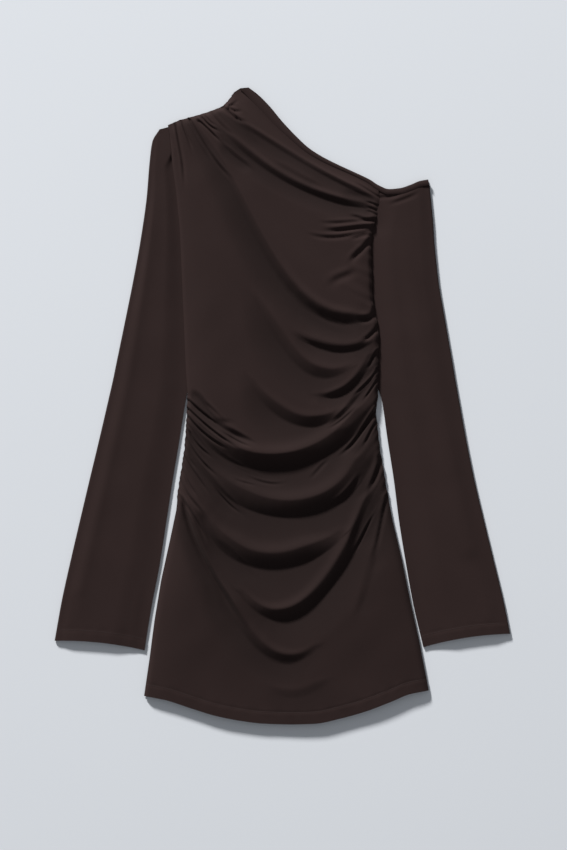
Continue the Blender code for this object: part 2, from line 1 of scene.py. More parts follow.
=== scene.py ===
"""Looks of the ruched mini dress laid flat: jersey panels, sleeves, neckline band and stitching.

The dress lies in the XY plane with its hem towards -Y, seen from straight above. Tables are in
millimetres in the frame of the solids, apart from the points of the folds and creases, which are
pixels of the photo; meshes are in metres. A panel is a grid whose rows follow the main folds, and
its height is a function of the plan position: an edge height, a loft, the listed folds and
creases, and the gathers along the seams.
"""

import logging
import math
from dataclasses import dataclass
from enum import Enum
from typing import Sequence

import bpy
import numpy as np
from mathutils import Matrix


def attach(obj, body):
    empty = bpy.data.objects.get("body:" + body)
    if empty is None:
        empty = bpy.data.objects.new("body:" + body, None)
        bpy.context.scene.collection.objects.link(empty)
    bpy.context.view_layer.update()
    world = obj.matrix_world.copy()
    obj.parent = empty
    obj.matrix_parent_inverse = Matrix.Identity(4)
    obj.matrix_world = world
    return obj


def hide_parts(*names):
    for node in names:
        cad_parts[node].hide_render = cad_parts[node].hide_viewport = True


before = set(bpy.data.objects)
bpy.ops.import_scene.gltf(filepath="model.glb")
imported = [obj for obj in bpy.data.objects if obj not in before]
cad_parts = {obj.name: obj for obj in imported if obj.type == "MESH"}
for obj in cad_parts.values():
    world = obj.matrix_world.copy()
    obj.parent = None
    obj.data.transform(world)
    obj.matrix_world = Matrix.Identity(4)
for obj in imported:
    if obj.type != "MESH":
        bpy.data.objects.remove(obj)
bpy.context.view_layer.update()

LOG = logging.getLogger("dress")
MM = 0.001

# The photo: its scale, and the pixel that falls on the dress's origin
MM_PER_PIXEL = 1.27
ORIGIN_PIXEL = (282.4, 405.85)

# A fold that ends nearer to a seam than this (mm) is held there and sets in over a short share
# of its length; a free end fades over a long one
SEAM_REACH = 20.0
SEAM_SHARE = 0.12
FREE_SHARE = 0.32
GOLDEN = 0.618034

Table = Sequence[Sequence[float]]


class Side(Enum):
    """A side edge of the body, as seen from above."""

    LEFT = 0
    RIGHT = 1


class End(Enum):
    """Which end of a crease is held at a seam."""

    NONE = 0
    FIRST = 1
    LAST = 2


class Held(Enum):
    """How a sheet of cloth lies."""

    GATHERED = "gathered"
    LAID = "laid"
    FOLDED = "folded"


# Left edge of the front panel: shoulder seam, armhole, side seam
LEFT_EDGE: Table = (  # x, y
    (-55.5, 401.6), (-61.5, 397.8), (-65.3, 391.0), (-74.2, 380.8), (-85.6, 375.7),
    (-104.6, 369.4), (-130.0, 362.4), (-145.3, 356.0), (-142.7, 344.0), (-140.2, 312.2),
    (-135.1, 274.1), (-130.0, 223.3), (-126.2, 134.4), (-122.4, 45.5), (-120.1, 11.2),
    (-120.8, -7.8), (-122.0, -30.7), (-124.0, -56.1), (-127.9, -81.5), (-132.0, -106.9),
    (-134.7, -132.3), (-142.7, -170.4), (-153.9, -221.2), (-162.3, -272.0), (-168.9, -322.8),
    (-175.5, -367.9),
)

# Right edge: armhole seam of the off-shoulder sleeve, then the side seam
RIGHT_EDGE: Table = (  # x, y
    (122.0, 274.1), (122.4, 257.0), (119.0, 242.0), (114.4, 226.0), (111.8, 204.3),
    (113.8, 134.4), (121.4, 96.3), (120.8, 13.8), (118.2, -5.3), (121.4, -40.8),
    (125.2, -65.0), (130.8, -99.3), (139.8, -145.0), (151.9, -195.8), (162.1, -246.6),
    (173.5, -297.4), (185.7, -360.9),
)

HEM: Table = (  # x, y
    (-175.5, -367.9), (-149.1, -372.7), (-117.3, -382.8), (-85.6, -392.6), (-53.8, -399.0),
    (-22.1, -402.8), (9.7, -403.7), (41.4, -402.8), (73.2, -396.4), (104.9, -387.5),
    (136.7, -375.5), (162.1, -365.3), (185.7, -360.9),
)

# Neckline band, from the shoulder point to the sleeve's outer corner
NECKLINE: Table = (  # outer x, outer y, inner x, inner y
    (-42.9, 403.7, -54.2, 402.6), (-31.1, 394.8, -38.6, 386.5), (-17.0, 380.8, -25.4, 373.1),
    (-0.1, 360.5, -7.1, 354.0), (16.6, 342.7, 11.3, 337.2), (32.9, 327.5, 29.1, 322.4),
    (48.3, 317.3, 45.5, 312.3), (67.9, 307.1, 65.6, 302.5), (89.7, 297.0, 87.7, 292.9),
    (111.1, 286.8, 108.7, 282.3), (122.0, 279.8, 119.4, 274.7), (135.4, 274.9, 134.5, 268.0),
    (149.4, 276.2, 150.8, 268.7), (162.1, 280.2, 164.7, 273.0), (174.8, 285.3, 177.0, 278.0),
    (185.2, 287.1, 186.6, 279.6),
)

# Guide rows of the panels: where a row meets each edge, its belly point, grid rows to the next
GUIDE_ROWS = (  # name, left y, belly x, belly y, right y, rows
    ("neckline", 401.6, 22.4, 328.7, 274.1, 12),
    ("first crease", 385.9, 13.5, 318.4, 264.5, 20),
    ("second crease", 371.3, 0.8, 284.3, 248.7, 72),
    ("long valley", 361.8, -13.2, 195.4, 111.6, 20),
    ("shoulder corner", 356.0, -15.7, 111.6, 83.6, 15),
    ("upper torso", 274.1, -13.2, 70.9, 68.4, 15),
    ("torso", 172.5, -8.1, 22.7, 50.6, 20),
    ("lower torso", 77.3, -5.6, -23.1, 32.8, 24),
    ("underarm", 11.2, -4.3, -58.6, 12.5, 30),
    ("waist fold", -7.8, -3.0, -86.6, -4.0, 46),
    ("hip fold", -43.4, -0.5, -143.7, -62.4, 46),
    ("skirt fold", -78.9, 0.8, -211.0, -109.4, 42),
    ("lower fold", -119.6, 2.0, -272.0, -157.7, 24),
    ("last fold", -195.8, 0.8, -322.8, -233.9, 48),
    ("hem", -367.9, 5.8, -403.7, -360.9, 0),
)

# How far the cloth stands above its edges down the middle of the panel
LOFT: Table = (  # y, loft
    (-405.0, 3.2), (-350.0, 3.6), (-290.0, 6.0), (-200.0, 9.0), (-70.0, 9.0), (0.0, 7.5),
    (90.0, 6.5), (180.0, 5.5), (270.0, 4.0), (330.0, 2.2), (405.0, 1.2),
)

# Folds: four points of the valley from left to right, read off the photo in pixels, then
# in mm the distance up to the ridge, the share of the height that the valley takes away, the
# ridge's own lift, and the share of the length over which it sets in (0: as its ends lie)
FOLDS: Table = (  # px0, py0, px1, py1, px2, py2, px3, py3, width, depth, lift, onset
    (216, 112, 262, 139, 345, 187, 374, 200, 5.5, 0.6, 1.4, 0.32),
    (235, 120, 244, 131, 254, 141, 263, 148, 4, 0.25, 0.2, 0),
    (220, 128, 252, 160, 310, 194, 375, 210, 7.5, 0.85, 1.8, 0.3),
    (275, 163, 290, 172, 306, 181, 323, 188, 5, 0.2, 0.3, 0),
    (345, 188, 354, 195, 364, 197, 375, 201, 5, 0.45, 0.3, 0),
    (222, 144, 230, 153, 240, 161, 252, 170, 4.5, 0.6, 0.8, 0),
    (188, 124, 240, 208, 330, 320, 374, 320, 12, 0.95, 2.4, 0.75),
    (288, 299, 305, 314, 325, 327, 350, 333, 5, 0.25, 0.2, 0),
    (296, 336, 318, 347, 348, 351, 372, 343, 8, 0.8, 1.1, 0.4),
    (255, 300, 285, 352, 315, 377, 350, 369, 14, 0.62, 0.8, 0.55),
    (318, 396, 338, 396, 358, 382, 376, 353, 8.5, 0.8, 1.1, 0),
    (330, 425, 345, 413, 358, 397, 374, 378, 6, 0.6, 0.4, 0),
    (252, 384, 275, 414, 306, 427, 340, 413, 14, 0.68, 0.9, 0.5),
    (191, 393, 206, 408, 218, 421, 230, 421, 6, 0.5, 0.5, 0),
    (190, 402, 208, 418, 226, 430, 252, 441, 6, 0.55, 0.5, 0),
    (189, 414, 245, 467, 316, 461, 375, 404, 21, 0.95, 3, 0),
    (188, 426, 208, 447, 236, 467, 262, 479, 6, 0.4, 0.4, 0),
    (205, 470, 255, 512, 328, 509, 375, 448, 22, 0.95, 3, 0),
    (187, 445, 199, 466, 217, 490, 246, 516, 7, 0.55, 0.7, 0),
    (203, 519, 250, 566, 304, 563, 341, 538, 21, 0.92, 2.8, 0),
    (240, 594, 282, 620, 346, 566, 377, 492, 15, 0.95, 2.4, 0),
    (214, 580, 240, 628, 280, 662, 316, 648, 12, 0.8, 1.6, 0),
    (184, 505, 200, 552, 222, 592, 246, 632, 7.5, 0.75, 1.3, 0),
    (200, 508, 206, 525, 213, 540, 226, 558, 7, 0.5, 0.4, 0),
    (183, 502, 196, 540, 207, 578, 220, 615, 8, 0.25, 0.2, 0),
    (215, 540, 232, 556, 244, 568, 257, 577, 7, 0.2, 0.2, 0),
    (270, 687, 290, 697, 312, 692, 330, 680, 10, 0.2, 0.3, 0),
    (350, 548, 357, 530, 366, 510, 379, 482, 8, 0.6, 0.8, 0),
    (360, 548, 368, 530, 376, 512, 384, 497, 6, 0.5, 0.3, 0),
    (373, 570, 379, 543, 383, 520, 386, 500, 8, 0.35, 0.2, 0),
    (357, 615, 367, 590, 373, 567, 377, 545, 9, 0.22, 0.2, 0),
)

# Creases: four points of the line in photo pixels, its half width, dip and ridge in mm, and its
# held ends (0 none, 1 the first, 2 the last)
CREASES: Table = (  # px0, py0, px1, py1, px2, py2, px3, py3, width, dip, lift, held
    (184, 505, 200, 552, 222, 592, 246, 632, 4.6, 3.2, 1, 1),
    (171, 160, 170, 151, 169, 142, 167, 130, 2.7, 3.2, 1.2, 2),
    (184, 190, 183, 163, 179, 140, 176, 121, 2.5, 2.2, 1, 2),
    (193, 151, 190, 143, 186, 133, 182, 121, 2.2, 1.7, 1, 2),
    (213, 160, 203, 143, 196, 131, 190, 120, 2.7, 2.4, 1.2, 2),
    (198, 121, 205, 127, 212, 134, 222, 144, 2.2, 2, 1, 1),
    (202, 118, 208, 125, 214, 129, 222, 133, 2, 2, 0.7, 1),
    (212, 114, 218, 122, 225, 129, 236, 138, 2.2, 1.7, 0.7, 1),
    (223, 108, 231, 115, 238, 120, 247, 124, 2.7, 2.6, 1.7, 1),
    (206, 117, 209, 121, 212, 124, 217, 127, 1.9, 1.3, 0.5, 1),
    (203, 143, 211, 156, 221, 169, 233, 182, 3.1, 1.5, 0.7, 0),
    (230, 106, 234, 104, 237, 102, 240, 100, 1.9, 1.7, 0.5, 1),
    (229, 107, 232, 106, 235, 106, 238, 106, 1.5, 1.3, 0.5, 1),
    (229, 109, 233, 111, 238, 112, 243, 111, 2, 2, 0.7, 1),
    (249, 99, 257, 109, 272, 124, 291, 141, 4.5, 1.8, 0.2, 0),
    (282, 129, 295, 143, 311, 155, 330, 165, 3.4, 2.4, 0.3, 0),
    (316, 223, 332, 224, 350, 223, 372, 221, 3.2, 1.2, 0.6, 2),
    (348, 217, 356, 218, 363, 220, 373, 220, 3.4, 2, 0.8, 2),
    (320, 231, 340, 231, 356, 229, 373, 228, 4.2, 2.6, 1.2, 2),
    (303, 233, 322, 238, 344, 237, 372, 231, 3.4, 1.5, 0.8, 2),
    (348, 239, 357, 238, 364, 236, 371, 236, 3, 2, 0.6, 2),
    (349, 266, 354, 258, 361, 251, 370, 240, 4.2, 2.4, 1, 2),
    (328, 291, 340, 279, 350, 275, 359, 269, 6, 1.4, 0.8, 0),
    (364, 203, 368, 203, 372, 204, 377, 206, 2, 1.1, 0.4, 2),
    (366, 208, 369, 208, 372, 209, 377, 211, 2, 1.1, 0.4, 2),
    (365, 213, 368, 212, 372, 213, 376, 215, 2, 1.1, 0.4, 2),
    (352, 181, 360, 186, 368, 191, 378, 197, 2.4, 0.9, 0.8, 2),
    (355, 317, 362, 320, 369, 319, 376, 309, 5.5, 3, 0.8, 2),
    (360, 343, 365, 340, 370, 336, 378, 327, 3.2, 2.9, 0.6, 2),
    (366, 370, 370, 364, 373, 358, 378, 350, 2.2, 1.9, 0.6, 2),
    (352, 398, 362, 388, 369, 381, 378, 368, 2.2, 1.3, 0.8, 2),
    (363, 402, 368, 394, 372, 388, 377, 380, 2, 1.6, 0.6, 2),
    (336, 458, 350, 447, 362, 431, 377, 408, 3.2, 2.6, 1, 2),
    (326, 430, 337, 424, 348, 415, 357, 406, 2.3, 1.1, 0.6, 0),
    (363, 448, 367, 439, 371, 431, 377, 421, 2.5, 2.1, 0.6, 2),
    (358, 436, 364, 429, 369, 423, 376, 414, 1.8, 1.1, 0.4, 2),
    (309, 480, 316, 473, 323, 465, 331, 459, 3.1, 1, 0.4, 0),
    (330, 506, 343, 497, 353, 486, 362, 472, 4, 1.6, 1, 0),
    (366, 494, 372, 485, 377, 474, 381, 456, 4.5, 3.2, 0.8, 2),
    (353, 556, 360, 541, 368, 525, 377, 509, 2.3, 1.5, 0.8, 0),
    (374, 560, 379, 536, 383, 516, 387, 496, 3.6, 1.9, 0.6, 2),
    (203, 402, 210, 407, 217, 414, 223, 420, 2.5, 2.2, 0.7, 0),
    (188, 400, 200, 411, 213, 421, 226, 429, 2.5, 2.4, 1, 1),
    (188, 409, 203, 423, 221, 437, 241, 449, 2.5, 2.6, 1, 1),
    (218, 430, 230, 437, 241, 443, 254, 447, 2.2, 1.8, 0.7, 0),
    (188, 417, 200, 430, 214, 441, 230, 450, 2.5, 2.4, 0.7, 1),
    (190, 432, 196, 443, 204, 451, 214, 459, 2.2, 2, 0.7, 1),
    (186, 438, 195, 453, 206, 466, 220, 478, 2.5, 2.4, 1, 1),
    (185, 447, 188, 456, 192, 463, 197, 470, 2.2, 2, 0.7, 1),
    (184, 456, 190, 466, 199, 479, 211, 497, 2.7, 1.8, 0.7, 1),
    (183, 470, 186, 478, 191, 487, 198, 498, 2.4, 1.8, 0.7, 1),
    (181, 480, 188, 495, 196, 505, 205, 515, 2.9, 2, 0.7, 1),
    (182, 498, 189, 509, 197, 522, 207, 545, 2.9, 2.6, 1, 1),
    (214, 486, 222, 497, 232, 507, 243, 515, 2.2, 1.6, 0.7, 0),
    (244, 475, 258, 481, 272, 484, 288, 482, 2.7, 0.8, 0.5, 0),
    (232, 478, 242, 482, 250, 484, 258, 486, 2, 1, 0.5, 0),
)

# Gathers: a run of small pleats along one edge, top and bottom y of the run on that edge
GATHERS = (  # side, top y, bottom y, count, height, length
    (Side.LEFT, 394.0, 359.0, 13, 1.5, 15.0),
    (Side.LEFT, 12.0, -120.0, 16, 1.1, 26.0),
    (Side.RIGHT, 264.0, 118.0, 10, 1.0, 22.0),
    (Side.RIGHT, 112.0, -120.0, 15, 1.1, 22.0),
)

# Sleeves: stations from the shoulder to the cuff, outer fold and inner edge of the tube
LEFT_SLEEVE: Table = (  # outer x, outer y, inner x, inner y, loft, bow
    (-156.3, 350.6, -141.3, 354.6, 3.6, 0.0), (-165.1, 335.1, -138.6, 337.6, 3.9, 0.0),
    (-168.8, 307.1, -136.1, 309.7, 4.2, 0.0), (-172.1, 266.5, -130.7, 269.0, 4.6, 0.0),
    (-180.0, 210.6, -125.6, 213.2, 5.0, 0.0), (-189.2, 159.8, -123.2, 159.8, 5.2, 0.0),
    (-199.4, 109.0, -121.0, 106.5, 5.2, 0.0), (-209.9, 58.2, -118.9, 55.7, 5.2, 0.0),
    (-215.1, 32.8, -118.9, 33.0, 5.2, 0.0), (-220.9, 7.4, -122.7, 7.4, 5.2, 0.0),
    (-232.7, -43.4, -130.9, -44.6, 5.2, 0.0), (-244.9, -94.2, -139.6, -96.7, 5.2, 0.5),
    (-256.9, -145.0, -147.8, -150.1, 5.2, 1.0), (-268.7, -195.8, -156.1, -203.4, 5.2, 2.0),
    (-279.9, -246.6, -166.2, -255.5, 5.2, 3.0), (-289.1, -298.1, -175.0, -310.3, 5.4, 4.0),
)

RIGHT_SLEEVE: Table = (  # outer x, outer y, inner x, inner y, loft, bow
    (186.9, 279.3, 118.4, 274.9, 4.6, 0.0), (189.2, 256.3, 118.4, 253.8, 4.8, 0.0),
    (191.6, 230.9, 110.0, 228.4, 5.0, 0.0), (192.8, 210.6, 107.2, 208.1, 5.2, 0.0),
    (198.0, 159.8, 109.0, 159.8, 5.2, 0.0), (206.5, 109.0, 114.4, 109.0, 5.2, 0.0),
    (215.4, 58.2, 117.0, 58.2, 5.2, 0.0), (219.6, 32.8, 118.0, 34.1, 5.2, 0.0),
    (224.2, 7.4, 126.1, 7.4, 5.2, 0.0), (233.4, -43.4, 133.6, -43.4, 5.2, 0.0),
    (243.8, -94.2, 141.5, -94.2, 5.2, 0.0), (255.8, -145.0, 148.1, -146.2, 5.2, 1.0),
    (268.2, -195.8, 156.5, -198.3, 5.2, 2.0), (280.5, -246.6, 166.1, -251.7, 5.2, 3.0),
    (289.1, -289.2, 178.9, -306.3, 5.4, 4.0),
)

# Soft folds down the sleeves: start, middle and end, half width and height
SLEEVE_FOLDS: Table = (  # x0, y0, x1, y1, x2, y2, half width, height
    (-160.0, 300.0, -196.0, 60.0, -262.0, -230.0, 11.0, 1.2),
    (-176.0, -215.0, -184.0, -262.0, -190.0, -309.0, 6.0, 1.0),
    (-268.0, -230.0, -272.0, -262.0, -276.0, -300.0, 6.0, 0.8),
    (150.0, 250.0, 182.0, 60.0, 236.0, -180.0, 13.0, 1.0),
    (174.0, -206.0, 181.0, -256.0, 190.0, -302.0, 6.0, 1.1),
)


# Creases of the off-shoulder sleeve below the neckline band
SLEEVE_CREASES: Table = (  # x0, y0, x1, y1, x2, y2, x3, y3, width, dip, lift, held
    (123.2, 264.0, 132.0, 264.8, 142.0, 266.4, 153.0, 271.6, 3.2, 0.9, 0.5, 1),
    (131.0, 253.6, 143.0, 257.6, 159.0, 263.2, 177.0, 272.6, 3.6, 0.8, 0.5, 0),
)


def in_mm(row: Sequence[float]) -> tuple:
    """Turn a row's four points from photo pixels into places on the dress.

    Args:
        row: four points in pixels in its first eight columns, then any other columns.

    Returns:
        The row with the points in mm in the dress's frame.
    """
    points = (np.reshape(row[:8], (4, 2)) - ORIGIN_PIXEL) * (MM_PER_PIXEL, -MM_PER_PIXEL)
    return (*points.ravel(), *row[8:])


def smooth_step(value: np.ndarray) -> np.ndarray:
    """Ease from 0 to 1: 3t squared minus 2t cubed, with t clipped to 0..1."""
    value = np.clip(value, 0.0, 1.0)
    return value * value * (3.0 - 2.0 * value)


def hinge(value: np.ndarray, round_off: float) -> np.ndarray:
    """Nought below 0 and the value above it, with a small round between."""
    return 0.5 * (value + np.sqrt(value * value + round_off))


def undulation(x: np.ndarray, y: np.ndarray) -> np.ndarray:
    """Slow unevenness of lying cloth, from -1 to 1: a product of two bent sines."""
    return np.sin(x / 17.0 + 1.7 * np.sin(y / 31.0)) * np.sin(y / 23.0 + 1.1 * np.sin(x / 29.0))


def smooth_table(keys: Sequence[float], values: Sequence[float], at: np.ndarray) -> np.ndarray:
    """Interpolate a table with cubic pieces whose slopes never overshoot it.

    Args:
        keys: rising positions of the table's rows.
        values: one value per row.
        at: positions to evaluate.

    Returns:
        The values at those positions.
    """
    keys = np.asarray(keys, dtype=float)
    values = np.asarray(values, dtype=float)
    step = np.diff(keys)
    slope = np.diff(values) / step
    same = slope[:-1] * slope[1:] > 0.0
    weight_a = 2.0 * step[1:] + step[:-1]
    weight_b = step[1:] + 2.0 * step[:-1]
    mean = (weight_a + weight_b) / (
        weight_a / np.where(same, slope[:-1], 1.0) + weight_b / np.where(same, slope[1:], 1.0))
    tangent = np.concatenate(([slope[0]], np.where(same, mean, 0.0), [slope[-1]]))
    at = np.clip(np.asarray(at, dtype=float), keys[0], keys[-1])
    index = np.clip(np.searchsorted(keys, at, side="right") - 1, 0, len(step) - 1)
    t = (at - keys[index]) / step[index]
    start = values[index] * (2.0 * t ** 3 - 3.0 * t ** 2 + 1.0)
    end = values[index + 1] * (3.0 * t ** 2 - 2.0 * t ** 3)
    turn = tangent[index] * (t ** 3 - 2.0 * t ** 2 + t) + tangent[index + 1] * (t ** 3 - t ** 2)
    return start + end + step[index] * turn


def edge_x(table: Table, y: np.ndarray) -> np.ndarray:
    """X of an edge table, whose rows go down in y, at each y."""
    rows = np.array(table)
    return np.interp(-np.asarray(y), -rows[:, 1], rows[:, 0])


def offset_line(points: np.ndarray, distance: float) -> np.ndarray:
    """Move a polyline to its right-hand side by a distance."""
    tangent = np.gradient(points, axis=0)
    tangent /= np.linalg.norm(tangent, axis=1)[:, None]
    return points + distance * np.stack([tangent[:, 1], -tangent[:, 0]], axis=1)


def signed_distance(line: np.ndarray, x: np.ndarray, y: np.ndarray) -> tuple:
    """Distance of each (x, y) from a polyline, as the least distance to its segments.

    Args:
        line: points of the polyline.
        x: positions in mm.
        y: positions in mm.

    Returns:
        The distance, positive on the left-hand side of travel, and the share of the line at
        the nearest point.
    """
    span = np.diff(line, axis=0)
    best = np.full(x.shape, np.inf)
    side = np.zeros(x.shape)
    share = np.zeros(x.shape)
    for i, (sx, sy) in enumerate(span):
        dx = x - line[i, 0]
        dy = y - line[i, 1]
        along = np.clip((dx * sx + dy * sy) / (sx * sx + sy * sy), 0.0, 1.0)
        away = np.hypot(dx - along * sx, dy - along * sy)
        nearer = away < best
        best = np.where(nearer, away, best)
        side = np.where(nearer, np.sign(sx * dy - sy * dx), side)
        share = np.where(nearer, (i + along) / len(span), share)
    return best * side, share


def lengths(points: np.ndarray, axis: int) -> np.ndarray:
    """Cloth length along one axis of a point grid: the running sum of its edge lengths."""
    steps = np.linalg.norm(np.diff(points, axis=axis), axis=2)
    pad = [(0, 0), (0, 0)]
    pad[axis] = (1, 0)
    return np.cumsum(np.pad(steps, pad), axis=axis)


@dataclass(frozen=True)
class Fold:
    """One hanging fold: a sharp valley below a soft ridge."""

    points: tuple
    width: float
    depth: float
    lift: float
    onset: float = 0.3
    end: float = 0.3
    run_out: float = 2.6

    @classmethod
    def from_row(cls, row: Sequence[float]) -> "Fold":
        """Make a fold from a row of the fold table, its ends held where they meet a seam.

        Args:
            row: the row, its points in mm.

        Returns:
            The fold.
        """
        from_left = row[0] - float(edge_x(LEFT_EDGE, row[1]))
        from_right = float(edge_x(RIGHT_EDGE, row[7])) - row[6]
        onset = row[11] or (SEAM_SHARE if from_left < SEAM_REACH else FREE_SHARE)
        end = SEAM_SHARE if from_right < SEAM_REACH else FREE_SHARE
        return cls(tuple(row[:8]), *row[8:11], onset, end)

    def line(self, count: int = 20) -> np.ndarray:
        """The valley: the cubic through its four points, by Lagrange weights over chord length.

        Args:
            count: how many points to give.

        Returns:
            The points of the line in mm.
        """
        points = np.array(self.points).reshape(4, 2)
        chord = np.concatenate(([0.0], np.cumsum(np.hypot(*np.diff(points, axis=0).T))))
        at = np.linspace(0.0, chord[-1], count)
        line = np.zeros((count, 2))
        for i in range(4):
            others = [j for j in range(4) if j != i]
            weight = np.prod([(at - chord[j]) / (chord[i] - chord[j]) for j in others], axis=0)
            line += weight[:, None] * points[i]
        return line

    def fade(self, share: np.ndarray) -> np.ndarray:
        """Strength along the fold: it sets in and dies out smoothly.

        Args:
            share: position along the valley from 0 to 1.

        Returns:
            The strength from 0 to 1.
        """
        strength = smooth_step(share / self.onset + 0.15)
        strength *= smooth_step((1.0 - share) / self.end + 0.15)
        return strength ** 0.7

    def shape(self, x: np.ndarray, y: np.ndarray) -> tuple:
        """The fold's cross-section, faded out at both ends.

        From the ridge the cloth drops straight to the valley, with t the distance over the
        width; below it the cloth comes back evenly over the run-out. The ridge is a lip: a
        bell curve on its upper side, straight down on the side of the valley.

        Args:
            x: positions in mm.
            y: positions in mm.

        Returns:
            The share of the height left and the ridge's lift in mm.
        """
        away, share = signed_distance(self.line(), x, y)
        fade = self.fade(share)
        width = self.width * (0.4 + 0.6 * fade)
        lower = np.minimum(hinge(1.0 + away / (self.run_out * width), 0.02), 1.0)
        upper = np.minimum(hinge(1.0 - away / width, 0.001), 1.0)
        lip = np.exp(-((away - width) / (0.45 * width)) ** 2)
        ridge = np.where(away > width, lip, np.clip(away / width, 0.0, 1.0))
        trough = np.where(away >= 0.0, upper, lower)
        return 1.0 - self.depth * fade * trough, self.lift * fade * ridge


@dataclass(frozen=True)
class Crease(Fold):
    """A fine crease: a narrow valley of its own depth, held where it starts at a seam."""

    held: End = End.NONE

    @classmethod
    def from_row(cls, row: Sequence[float]) -> "Crease":
        """Make a crease from a row of the crease table."""
        return cls(tuple(row[:8]), row[8], row[9], row[10], run_out=1.0, held=End(int(row[11])))

    def shape(self, x: np.ndarray, y: np.ndarray) -> np.ndarray:
        """The crease's height: a V in a narrow band less a bell curve for its ridge.

        Args:
            x: positions in mm.
            y: positions in mm.

        Returns:
            The height in mm, below nought in the valley.
        """
        away, share = signed_distance(self.line(12), x, y)
        first = 1.0 if self.held is End.FIRST else smooth_step(share / 0.4)
        last = 1.0 if self.held is End.LAST else smooth_step((1.0 - share) / 0.4)
        fade = first * last
        above = hinge(1.0 - away / self.width, 0.012)
        below = hinge(1.0 + away / (self.run_out * self.width), 0.012)
        ridge = np.exp(-((away - 1.2 * self.width) / (0.6 * self.width)) ** 2)
        return fade * (self.lift * ridge - self.depth * np.minimum(above, below))


@dataclass(frozen=True)
class GatherRun:
    """A run of small pleats that fan out from one seam."""

    side: Side
    top: float
    bottom: float
    count: int
    height: float
    reach: float

    def shape(self, edge: np.ndarray, inner: np.ndarray) -> tuple:
        """Sum of pleats, each a bell curve across the seam that dies out along its length.

        Args:
            edge: y at which each row meets the seam.
            inner: distance of each point from the seam.

        Returns:
            The height in mm, and how tightly each row is held at the seam, from 0 to 1.
        """
        pitch = (self.top - self.bottom) / self.count
        height = np.zeros(inner.shape)
        held = np.zeros(len(edge))
        for i in range(self.count):
            wander = (i * GOLDEN) % 1.0
            centre = self.top - pitch * (i + 0.3 + 0.4 * wander)
            across = np.exp(-((edge - centre) / (0.36 * pitch)) ** 2)
            along = np.exp(-(inner / (self.reach * (0.6 + 0.8 * wander))) ** 2)
            height += self.height * (0.7 + 0.6 * wander) * across[:, None] * along
            held += across
        return height, held


@dataclass(frozen=True)
class Neckline:
    """The neckline: outer line, inner line and the seam line one gap inside the band."""

    gap: float = 0.08

    def at(self, x: np.ndarray) -> list:
        """Points of the three lines where the seam line meets each x.

        Args:
            x: positions of the seam line.

        Returns:
            Outer, inner and seam points.
        """
        table = np.array(NECKLINE)
        keys = np.arange(len(table), dtype=float)
        at = np.linspace(0.0, keys[-1], 900)
        columns = [smooth_table(keys, table[:, axis], at) for axis in range(4)]
        outer = np.stack(columns[:2], axis=1)
        inner = np.stack(columns[2:], axis=1)
        seam = offset_line(inner, self.gap)
        return [
            np.stack([np.interp(x, seam[:, 0], line[:, axis]) for axis in (0, 1)], axis=1)
            for line in (outer, inner, seam)
        ]

    def stations(self, share: np.ndarray, end_x: float) -> np.ndarray:
        """X of the seam line at shares of its length from the shoulder point to end_x.

        Args:
            share: of the length, from 0 to 1.
            end_x: where the length ends.

        Returns:
            The x positions in mm.
        """
        dense = np.linspace(NECKLINE[0][2], end_x, 500)
        line = self.at(dense)[2]
        steps = np.hypot(np.diff(line[:, 0]), np.diff(line[:, 1]))
        length = np.concatenate(([0.0], np.cumsum(steps)))
        return np.interp(share * length[-1], length, line[:, 0])


class ShaderValue:
    """A number that flows between shader nodes; arithmetic on it adds Math nodes."""

    def __init__(self, maker: "NodeMaker", socket: bpy.types.NodeSocket) -> None:
        """Wrap an output socket of the maker's tree."""
        self.maker = maker
        self.socket = socket

    def _math(self, operation: str, *values: object) -> "ShaderValue":
        """Add one Math node and wrap its result."""
        inputs = {i: value for i, value in enumerate(values)}
        return self.maker.value("ShaderNodeMath", {"operation": operation}, inputs)

    def __add__(self, other: object) -> "ShaderValue":
        """This value plus another."""
        return self._math("ADD", self, other)

    __radd__ = __add__

    def __sub__(self, other: object) -> "ShaderValue":
        """This value minus another."""
        return self._math("SUBTRACT", self, other)

    def __rsub__(self, other: object) -> "ShaderValue":
        """Another value minus this one."""
        return self._math("SUBTRACT", other, self)

    def __mul__(self, other: object) -> "ShaderValue":
        """This value times another."""
        return self._math("MULTIPLY", self, other)

    __rmul__ = __mul__

    def __pow__(self, other: object) -> "ShaderValue":
        """This value to a power."""
        return self._math("POWER", self, other)

    def wave(self) -> "ShaderValue":
        """Sine of this value."""
        return self._math("SINE", self)

    def size(self) -> "ShaderValue":
        """This value without its sign."""
        return self._math("ABSOLUTE", self)


